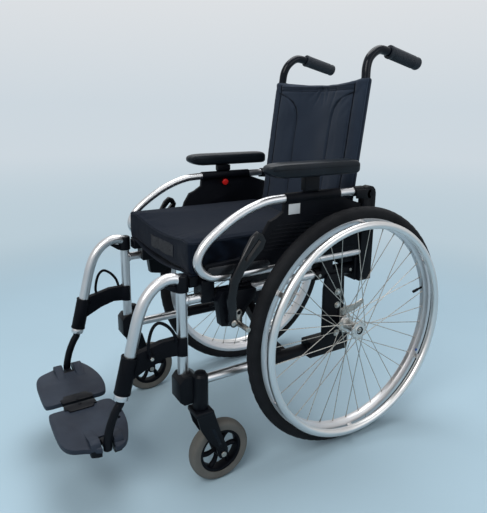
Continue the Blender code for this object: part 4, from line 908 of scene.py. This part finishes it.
def build_hanger():
    bend = [
        (POST_Y, 0.48), (-0.449, 0.487), (-0.47, 0.485), (-0.492, 0.473), (-0.511, 0.451), (-0.525, 0.421),
        HANGER_TOP,
    ]
    path = curved_at(HANGER_X, bend) + [down_hanger(0.03), down_hanger(0.1455)]
    collar = [
        (0.01, 0.1335), (0.0148, 0.1335), (0.0153, 0.1345), (0.0153, 0.144), (0.0146, 0.1458), (0.01, 0.1458),
    ]
    bar = [swept(path, HANGER_RADIUS, 36), turned_along(collar, down_hanger(0), HANGER_DOWN, 40)]
    fit_pair(bar, "hanger_tube", "hanger", SILVER)
    cap = turned_along([
        (0.0126, 0.0), (0.0155, 0.0), (0.0155, 0.03), (0.0149, 0.034), (0.0128, 0.036), (0.006, 0.0365),
    ], at(RAIL_X, POST_Y, 0.4565), UP, 48)
    wedge = plate([(-0.44, 0.47), (-0.44, 0.4568), (-0.449, 0.4578), (-0.478, 0.478)],
                  HANGER_X - 0.006, HANGER_X + 0.006, 0.0012)
    fit_pair([cap, wedge], "hanger_cap", "hanger", BLACK)
    dress_pairs(0.001, "hanger", SOFT_BLACK, "hanger_bracket")
    lips = []
    for far in (0.052, 0.13):
        lip = [(0.0168, far), (0.0179, far + 0.0004), (0.0179, far + 0.0026), (0.0168, far + 0.003)]
        lips.append(turned_along(lip, down_hanger(0), HANGER_DOWN, 40))
    fit_pair(lips, "boot_lips", "hanger", BLACK)


def build_legrests():
    build_hanger()
    loop = [
        RELEASE_PIVOT, (-0.512, 0.352), (-0.504, 0.387), (-0.489, 0.401), (-0.47, 0.391), (-0.455, 0.371),
        (-0.448, 0.348),
    ]
    strap = swept(curved_at(RELEASE_X, loop), lambda t: 0.0035 if t < 0.95 else 0.003, 20)
    boss = stud(RELEASE_X - 0.0035, RELEASE_X + 0.0045, *RELEASE_PIVOT, 0.007, 32)
    fit_pair([strap, boss], "release_lever", "hanger_lever", SOFT_BLACK)
    screw = stud(RELEASE_X + 0.004, RELEASE_X + 0.0062, *RELEASE_PIVOT, 0.0042, 6)
    fit_pair(screw, "release_screw", "hanger", STEEL)
    x, y, z = FLIP
    lower = ((-0.5835, 0.219), (-0.595, 0.192), (-0.603, 0.16), (y, z - 0.008))
    spots = [down_hanger(0.156)] + [at(HANGER_X, *spot) for spot in lower]
    path = [down_hanger(0.0625), down_hanger(0.11)] + curved(spots)
    extension = [
        swept(path, 0.009, 32), rod(at(x, y - 0.013, z), at(x, y + 0.013, z), 0.0055, 32),
        block((x, y - 0.008, z - 0.005), (HANGER_X, y + 0.008, z + 0.005), 0.0012),
    ]
    fit_pair(extension, "leg_extension", "extension", BLACK)
    stops = [rod(down_hanger(far) + 0.0088 * ACROSS, down_hanger(far) + 0.0094 * ACROSS, 0.003, 20)
             for far in (0.166, 0.18)]
    fit_pair(stops, "extension_stops", "extension", SOFT_BLACK)
    build_footplates()


def build_footplates():
    """Plates with a curved outline and two ramps, their dark hinge housing, and the clip that ties them."""
    x, y, z = FLIP
    low, top, half = z - 0.006, z + 0.006, 0.0133
    slot = ((x - 0.006, y - half, low - 0.04), (0.23, y + half, top + 0.04))
    outline = curved([
        (0.016, -0.66), (0.0165, -0.682), (0.027, -0.6905), (0.08, -0.692), (0.138, -0.6895), (0.168, -0.676),
        (0.183, -0.647), (0.199, -0.614), (0.2055, -0.588), (0.196, -0.567), (0.16, -0.5505),
        (0.115, -0.5405), (0.07, -0.5385), (0.0285, -0.5455), (0.0165, -0.558), (0.016, -0.58),
    ], 5)
    ramp = [(0.112, top - 0.0012), (0.14, top + 0.0024), (0.158, top + 0.0072), (0.17, top + 0.0112),
            (0.18, top + 0.0118), (0.188, top + 0.008), (0.193, top - 0.006), (0.112, top - 0.006)]
    tread = [cut(plate(outline, low, top, 0.0024, "Z"), block(*slot))]
    for start, end in ((y - 0.035, y - half - 0.0005), (y + half + 0.0005, y + 0.035)):
        tread.append(plate(ramp, start, end, 0.0022, "Y"))
    fit_pair(tread, "footplate", "footplate", FOOT_GREY)
    keel = plate([(0.15, y - 0.0353), (0.188, y - 0.0353), (0.194, y - 0.02), (0.194, y + 0.03),
                          (0.15, y + 0.03)], low - 0.011, top - 0.004, 0.0035, "Z")
    fit_pair(cut(keel, block(*slot)), "footplate_housing", "footplate", BLACK)
    lip = [(0.0052, -0.654), (0.024, -0.655), (0.0255, -0.648), (0.0345, -0.646), (0.036, -0.64),
           (0.036, -0.596), (0.0345, -0.59), (0.0255, -0.588), (0.024, -0.581), (0.0052, -0.582)]
    clip = [plate(lip, top - 0.006, top + 0.003, 0.0012, "Z"),
            rod(at(0.011, -0.618, top + 0.0028), at(0.011, -0.618, top + 0.004), 0.0045, 24)]
    fit_pair(clip, "footplate_clip", "footplate", BLACK)


def build_brace():
    """The two cross arms, and the bolt where their centre lines cross."""
    for letter in "ab":
        fit(dressed(f"cross_arm_{letter}", 0.0012), f"cross_arm_{letter}", f"arm_{letter}", BLACK)
    crossing = RAIL_Z[0] + (SEAT_TUBE_Z - RAIL_Z[0]) * RAIL_X / (RAIL_X + SEAT_TUBE_X)
    front = at(0, -0.187, crossing)
    bolt = [rod(front + 0.0004 * BEHIND, front - far * BEHIND, radius, steps)
            for far, radius, steps in ((0.0045, 0.0085, 6), (0.0012, 0.0105, 32))]
    fit(joined(*bolt), "brace_bolt_head", "arm_a", STEEL)


# Soft pieces


def spaced(low, high, count):
    return [low + (high - low) * i / (count - 1) for i in range(count)]


def back_front(x, z):
    """How far behind the axle the cloth's front lies."""
    height = 2 * (z - BACK_Z[0]) / (BACK_Z[1] - BACK_Z[0]) - 1
    share = min(1, abs(x) / 0.136)
    lean = 0.0565 - (BACK_TOP[2] - z) * BACK_LEAN
    return lean + BACK_SAG * (1 - share * share) ** 2 * (1 + 0.06 * height)


def seam_x(z):
    """The left seam's distance from the middle, which flares out below the top hem."""
    rows = [(0.0, 0.074), (0.8, 0.0755), (0.818, 0.0775), (0.835, 0.083), (0.85, 0.096), (0.862, 0.118),
            (0.871, 0.142), (0.877, 0.164)]
    for (z0, x0), (z1, x1) in zip(rows, rows[1:]):
        if z <= z1:
            return x0 + (x1 - x0) * (z - z0) / (z1 - z0)
    return rows[-1][1]


def groove(distance, width):
    return math.exp(-(distance / width) ** 2)


def crease(x, z, start, end, width):
    """How close a place is to a crease between two places, fading towards the crease's far end."""
    start, spot = Vector(start), Vector((x, z))
    along = Vector(end) - start
    share = min(max((spot - start).dot(along) / along.length_squared, 0), 1)
    return groove((spot - start - along * share).length, width) * (1 - share) ** 0.6


def back_relief(x, z):
    """Depth of seams and height of padding and creases over the plain cloth, outwards."""
    height = 0.0
    side = abs(x)
    loose = 1.0 if side < 0.105 else max(0.25, 1 - (side - 0.105) / 0.014)
    if z < 0.874:
        height -= 0.0068 * max(loose, 0.4) * groove(side - seam_x(z), 0.0042)
    height -= 0.003 * groove(side - SIDE_SEAM, 0.006)
    height -= 0.0036 * groove(z - 0.883, 0.0036) * (side < 0.158)
    for start, end, width, depth in BACK_CREASES:
        height -= depth * max(loose, 0.6) * crease(x, z, start, end, width)
    if side < 0.15 and z < 0.868:
        height += 0.0024 * math.sin(math.pi * min(1, (0.868 - z) / 0.05) / 2)
    height += 0.0016 * loose * math.sin(x * 46 + 1.7 * math.sin(z * 19)) * math.sin(z * 31 + 0.8)
    height += 0.001 * groove(side - 0.165, 0.026) * noise.noise(Vector((x * 38, z * 85, 2.7)))
    height += 0.0009 * loose * noise.noise(Vector((x * 16, z * 11, 5.1)))
    height += 0.0017 * groove(x - 0.006, 0.022) * groove(z - 0.893, 0.02) * math.sin(x * 520)
    folds = math.sin(x * 60 + 3 * noise.noise(Vector((x * 9, z * 9, 0))))
    height += 0.001 * groove(z - 0.52, 0.03) * folds
    return max(height, -0.0034) if side > 0.11 else height


def back_ends(x):
    """The back's lower and upper edge at a distance across."""
    low = BACK_Z[0] + 0.0025 * math.sin(abs(x) * 40) ** 2
    high = BACK_Z[1] - 0.0125 * (1 - min(1, abs(x) / 0.168) ** 3.2) - 0.001 * abs(math.sin(x * 70))
    return low, high


def build_back():
    """The upholstery: a padded panel with flat sleeves closed round the two canes."""
    side_depth, middle_depth, panel_half = 0.0315, 0.0195, 0.112
    across = spaced(-1, 1, 211)
    loop = [(u, True) for u in across] + [(u, False) for u in reversed(across)]
    rings = []
    for t in spaced(0, 1, 170):
        ring = []
        for u, front in loop:
            x = BACK_HALF * math.copysign(abs(u) ** 0.94, u)
            low, high = back_ends(x)
            z = low + (high - low) * t
            share = abs(x) / panel_half
            depth = middle_depth + (side_depth - middle_depth) * min(1, share) ** 1.6
            end = math.sqrt(max(0.0, 1 - max(0.0, (abs(x) - 0.1755) / 0.0146) ** 2))
            lip = min(1.0, min(t, 1 - t) / 0.018)
            puff = 0.42 + 0.58 * math.sqrt(max(0.0, 1 - (1 - lip) ** 2))
            mid = back_front(x, z) + depth / 2
            half = depth / 2 * end * puff
            if front:
                y = mid - half - back_relief(x, z) * lip * min(1, end * 1.5)
            else:
                y = mid + half + 0.4 * back_relief(-x, z) * lip * max(0, 1 - share ** 4)
            ring.append(at(x, y, z))
        rings.append(ring)
    back = skin(rings)
    back.data.shade_smooth()
    return back


def lifted(hits, lift):
    """Points a little off the surface places that a search found."""
    return [spot + normal * lift for spot, normal, _, _ in hits]


def front_path(tree, points, lift):
    """Points cast from ahead onto the front of a surface, lifted a little off it, and evened out."""
    path = lifted([tree.ray_cast(p - 0.3 * BEHIND, BEHIND) for p in points], lift)
    for _ in range(2):
        path = [path[0]] + [(a + 2 * b + c) / 4 for a, b, c in zip(path, path[1:], path[2:])] + [path[-1]]
    return path


def tree_of(obj):
    body = bmesh.new()
    body.from_mesh(obj.data)
    tree = BVHTree.FromBMesh(body)
    body.free()
    return tree


def fit_back():
    back = build_back()
    fit(back, "back_upholstery", "frame_left", BACK_CLOTH)
    tree = tree_of(back)
    # The stitching cords lie in the seam grooves: real thread, near-black as painted shade in the grooves.
    stitches = []
    for side in (1, -1):
        seam = [at(side * seam_x(z), 0.0, z) for z in spaced(BACK_Z[0] + 0.01, 0.8765, 70)]
        edge = [at(side * SIDE_SEAM, 0.0, z) for z in spaced(BACK_Z[0] + 0.006, 0.897, 60)]
        stitches += [cord(front_path(tree, seam, 0.0007), 0.001), cord(front_path(tree, edge, 0.0011), 0.001)]
    for height in (0.883, 0.8935):
        hem = [at(x, 0.0, height - 0.0035 * (1 - (x / 0.158) ** 2)) for x in spaced(-0.158, 0.158, 90)]
        stitches.append(cord(front_path(tree, hem, 0.0001), 0.0006))
    seams = joined(*stitches)
    fit(seams, "back_stitching", "frame_left", THREAD_AND_SEAM_SHADE)
    for piece in (back, seams):
        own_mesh(piece)


def sling_sag(x):
    return -SLACK * (1 - min(1, abs(x) / SLACK_HALF) ** 2)


def build_sling():
    """A strong cloth pulled from seat tube to seat tube, hanging a little in the middle."""
    thick = 0.003
    across = spaced(-0.1875, 0.1875, 121)
    loop = [(x, False) for x in across] + [(x, True) for x in reversed(across)]
    return shaded(skin([
        [at(x, y, SLING_Z + 0.0002 + sling_sag(x) + top * (thick + 0.0004 * math.sin(x * 90 + y * 30)))
         for x, top in loop]
        for y in spaced(CUSHION_Y[0] + 0.001, CUSHION_Y[1] - 0.001, 90)
    ]), 50)


def cushion_plan(steps=76, corner=0.01, draw=0.0042):
    """The cushion's outline: nearly square corners, sides drawn in a little between them."""
    half_x = CUSHION_HALF - 0.0004
    half_y = CUSHION_DEPTH / 2 - 0.0004
    points = []
    for turn in range(4):
        long, wide = (half_x, half_y) if turn % 2 else (half_y, half_x)
        side = [(wide - draw * (1 - t * t), t * (long - corner)) for t in spaced(-1, 1, steps)]
        for a in map(math.radians, (18, 36, 54, 72)):
            side.append((wide - corner + corner * math.cos(a), long - corner + corner * math.sin(a)))
        quarter = Matrix.Rotation(math.pi / 2 * turn, 2)
        points += [quarter @ Vector(spot) for spot in side]
    return points


def cushion_place(x, y, height, crown=0.0):
    """A place in the cushion: x and y from its middle, and a share of its height."""
    low = CUSHION_Z[0] + 0.6 * sling_sag(x)
    high = CUSHION_Z[1] + sling_sag(x) + crown
    return at(x, CUSHION_MIDDLE + y, low + (high - low) * height)


def relax(pad, limit=0.003):
    """Blows the cover up a little under pressure: a coarser copy is simulated, and the cushion follows it."""
    copy = modified(placed(pad.data.copy()), "REMESH", mode="VOXEL", voxel_size=0.006)
    rest = [v.co.copy() for v in copy.data.vertices]
    cloth = copy.modifiers.new("cloth", "CLOTH")
    settings = {
        "quality": 4, "mass": 0.25, "tension_stiffness": 25, "compression_stiffness": 25,
        "bending_stiffness": 3, "use_pressure": True, "uniform_pressure_force": 4.0,
    }
    for key, value in settings.items():
        setattr(cloth.settings, key, value)
    cloth.settings.effector_weights.gravity = 0
    cloth.point_cache.frame_end = 20
    for number in range(1, 21):
        bpy.context.scene.frame_set(number)
    copy = applied(copy)
    bpy.context.scene.frame_set(1)
    finder = KDTree(len(rest))
    for index, start in enumerate(rest):
        finder.insert(start, index)
    finder.balance()
    moves = [v.co - start for v, start in zip(copy.data.vertices, rest)]
    bpy.data.objects.remove(copy, do_unlink=True)
    for vertex in pad.data.vertices:
        near = finder.find_n(vertex.co, 6)
        total = sum(1 / (d + 0.001) for _, _, d in near)
        move = sum((moves[i] / (d + 0.001) for _, i, d in near), Vector()) / total
        vertex.co += move * min(1, limit / max(move.length, 1e-6))


def build_cushion():
    """A box cushion with a slight crown, its underside and top following the slack of the sling."""
    plan = cushion_plan()
    under = [(share, 0.0) for share in (0.06, 0.12, 0.21, 0.3, 0.38, 0.46, 0.53, 0.6, 0.66, 0.72, 0.77, 0.82,
                                        0.86, 0.9, 0.93, 0.955, 0.97, 0.98)]
    side = [(0.9865, 0.004), (0.9905, 0.012), (0.994, 0.026), (0.9965, 0.045), (0.998, 0.075), (0.999, 0.11)]
    side += [(0.999 + 0.0035 * math.sin(math.pi * h), h) for h in spaced(0.15, 0.86, 16)]
    side += [(0.9995, 0.905), (0.9993, 0.93), (0.9985, 0.95), (0.9965, 0.97), (0.9935, 0.985), (0.989, 0.994)]
    over = [(share, 1.0) for share in (0.983, 0.975, 0.965, 0.955, 0.94, 0.92, 0.9, 0.875, 0.85, 0.815, 0.78,
                                       0.74, 0.7, 0.65, 0.6, 0.54, 0.48, 0.42, 0.35, 0.28, 0.21, 0.14, 0.07)]
    rings = []
    for share, height in under + side + over:
        ring = []
        for point in plan:
            x, y = point.x * share, point.y * share
            crown = 0.0105 * (1 - (x / CUSHION_HALF) ** 2) * (1 - (y / CUSHION_DEPTH * 2) ** 2)
            ring.append(cushion_place(x, y, height, crown))
        rings.append(ring)
    pad = skin(rings)
    relax(pad)
    low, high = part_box("seat_cushion")
    centre = at(0, CUSHION_MIDDLE, 0.525)
    for vertex in pad.data.vertices:
        p = vertex.co
        off = p - centre
        corner = (abs(off.x) / CUSHION_HALF) ** 4 * (abs(off.y) / CUSHION_DEPTH * 2) ** 4
        dent = 0.0006 * noise.noise(Vector((p.x * 24, p.y * 20, p.z * 60)))
        dent += (0.0004 + 0.0012 * corner) * noise.noise(Vector((p.x * 70, p.y * 60, p.z * 34)))
        p = p + off.normalized() * dent
        vertex.co = [min(max(p[axis], low[axis] - 0.001), high[axis] + 0.001) for axis in range(3)]
    pad.data.shade_smooth()
    return pad


def ring_cord(path, radius):
    """A thin cord round a closed path."""
    rings = []
    for i, spot in enumerate(path):
        along = (path[(i + 1) % len(path)] - path[i - 1]).normalized()
        side = along.cross(UP).normalized()
        top = side.cross(along)
        rings.append([spot + (side * c + top * s) * radius for c, s in circle(8)])
    return shaded(skin(rings, closed=True), 60)


def fit_cushion():
    sling = build_sling()
    fit(sling, "seat_sling", None, SEAT_CLOTH)
    hem = joined(*(
        cord([at(x, y, SLING_Z + 0.0034 + sling_sag(x)) for x in spaced(-0.183, 0.183, 80)], 0.0005)
        for y in (CUSHION_Y[0] + 0.01, CUSHION_Y[0] + 0.014, CUSHION_Y[1] - 0.012)
    ))
    fit(hem, "seat_sling_hem", None, THREAD_AND_SEAM_SHADE)
    pad = build_cushion()
    fit(pad, "seat_cushion", None, SEAT_CLOTH)
    tree = tree_of(pad)
    cords = []
    for height in (0.955, 0.075):
        outside = [cushion_place(*point, height) + point.to_3d() * 0.01 for point in cushion_plan()]
        path = lifted(map(tree.find_nearest, outside), 0.0002)
        for _ in range(3):
            path = [(path[i - 1] + 2 * path[i] + path[(i + 1) % len(path)]) / 4 for i in range(len(path))]
        cords.append(ring_cord(path, 0.0011))
    piping = joined(*cords)
    fit(piping, "cushion_piping", None, EDGE_CLOTH)
    rows = [lifted(map(tree.find_nearest, row), 0.0006) for row in mesh_patch_rows()]
    patch = sheet_of(rows)
    fit(patch, "cushion_mesh_patch", None, GREY_MESH)
    left, right = [row[0] for row in rows], [row[-1] for row in reversed(rows[:-1])]
    border = ring_cord(left + rows[-1][1:] + right + rows[0][-2::-1], 0.0009)
    fit(border, "cushion_patch_border", None, EDGE_CLOTH)
    for piece in (sling, hem, pad, piping, patch, border):
        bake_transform(piece)


def mesh_patch_rows():
    """Places ahead of the cushion, in rows up the grey patch, which rises a little along X."""
    left, right = -0.046, 0.093
    rows = []
    for share in spaced(0, 1, 9):
        row = []
        for x in spaced(left, right, 40):
            slope = (x - left) / (right - left)
            low, high = 0.4945 + 0.0045 * slope, 0.527 + 0.008 * slope
            row.append(at(x, -0.46, low + (high - low) * share))
        rows.append(row)
    return rows


def sheet_of(rows):
    """An open strip through rows of points, given a little thickness."""
    body = bmesh.new()
    grid = [[body.verts.new(p) for p in row] for row in rows]
    for a, b in zip(grid, grid[1:]):
        for k in range(len(a) - 1):
            body.faces.new((a[k], a[k + 1], b[k + 1], b[k]))
    return shaded(modified(from_bmesh(body), "SOLIDIFY", thickness=0.001, offset=0), 50)


# Stage, light and camera


def build_stage():
    """A pale floor that fades into the backdrop's colour away from the chair."""
    body = bmesh.new()
    bmesh.ops.create_grid(body, x_segments=4, y_segments=4, size=FLOOR_HALF)
    floor = from_bmesh(body, outward=False)
    floor.name = "floor"
    made = Finish("pale_floor")
    made.done({
        "Base Color": made.ramp(made.noise(2, 2), FLOOR_NEAR, [v * 1.03 for v in FLOOR_NEAR]),
        "Roughness": 0.85, "Specular IOR Level": 0.1,
    })
    distance = made.add("ShaderNodeVectorMath", {0: made.place}, operation="LENGTH").outputs["Value"]
    fade, tone = (
        made.add("ShaderNodeMapRange", {
            "Value": distance, "From Min": FADE_START, "From Max": end,
        }, interpolation_type="SMOOTHSTEP").outputs["Result"]
        for end in (FADE_END, FLOOR_HALF * 0.6)
    )
    glow = made.add("ShaderNodeEmission", {"Color": made.ramp(tone, FLOOR_MIDDLE, BACKDROP_LOW, (0.0, 1.0))})
    share = made.maths("MULTIPLY", fade, made.seen_by_eye())
    mix = made.add("ShaderNodeMixShader", {0: share, 1: made.shader.outputs[0], 2: glow.outputs[0]})
    made.put(made.tree.nodes["Material Output"], {"Surface": mix.outputs[0]})
    floor.data.materials.append(made.material)


def build_world():
    """Soft bluish light all round, and a pale backdrop that is lighter towards the top."""
    world = bpy.data.worlds.new("studio")
    bpy.context.scene.world = world
    world.use_nodes = True
    world.node_tree.nodes.clear()
    made = Nodes(world.node_tree)
    place = made.add("ShaderNodeTexCoord", {}).outputs["Generated"]
    height = made.add("ShaderNodeSeparateXYZ", {0: place}).outputs["Z"]
    backdrop = made.ramp(height, BACKDROP_LOW, BACKDROP_HIGH, (0.0, 0.26))
    fill = made.add("ShaderNodeBackground", {"Color": (0.86, 0.93, 1.0, 1), "Strength": 0.31})
    seen = made.add("ShaderNodeBackground", {"Color": backdrop})
    mix = made.add("ShaderNodeMixShader", {0: made.seen_by_eye(), 1: fill.outputs[0], 2: seen.outputs[0]})
    made.add("ShaderNodeOutputWorld", {0: mix.outputs[0]})


def add_light(name, place, aim_z, size, power, tint):
    """A square lamp aimed at a height over the middle of the floor."""
    lamp = bpy.data.lights.new(name, "AREA")
    lamp.shape = "RECTANGLE"
    lamp.size = lamp.size_y = size
    lamp.energy = power
    lamp.color = tint
    obj = placed(lamp, name)
    obj.location = place
    obj.rotation_euler = (Vector((0, 0, aim_z)) - Vector(place)).to_track_quat("-Z", "Y").to_euler()


def build_lights():
    add_light("key", (1.6, -2.4, 3.0), 0.5, 2.2, 80, (1.0, 0.985, 0.96))
    add_light("top", (-0.6, 0.6, 3.4), 0.4, 2.6, 92, (0.97, 0.985, 1.0))
    add_light("fill", (3.0, 1.4, 1.8), 0.5, 2.0, 14, (0.95, 0.975, 1.0))


def build_camera():
    azimuth, elevation, roll = map(math.radians, (CAMERA_AZIMUTH, CAMERA_ELEVATION, CAMERA_ROLL))
    back = Vector((
        math.sin(azimuth) * math.cos(elevation), -math.cos(azimuth) * math.cos(elevation), math.sin(elevation)
    ))
    right = UP.cross(back).normalized()
    up = back.cross(right)
    turned_right = right * math.cos(roll) + up * math.sin(roll)
    turned_up = up * math.cos(roll) - right * math.sin(roll)
    data = bpy.data.cameras.new("camera")
    data.sensor_width = 36
    data.lens = CAMERA_LENS
    data.shift_x, data.shift_y = CAMERA_SHIFT
    data.clip_start = 0.01
    camera = placed(data, "camera")
    matrix = Matrix((turned_right, turned_up, back)).transposed().to_4x4()
    matrix.translation = at(*CAMERA_PLACE)
    camera.matrix_world = matrix
    bpy.context.scene.camera = camera


def main():
    build_wheels()
    build_frame()
    build_handles()
    build_casters()
    build_brakes()
    build_guards()
    build_armrests()
    build_legrests()
    build_brace()
    fit_back()
    fit_cushion()
    build_stage()
    build_world()
    build_lights()
    build_camera()
    bpy.context.scene.view_settings.view_transform = "Standard"


main()
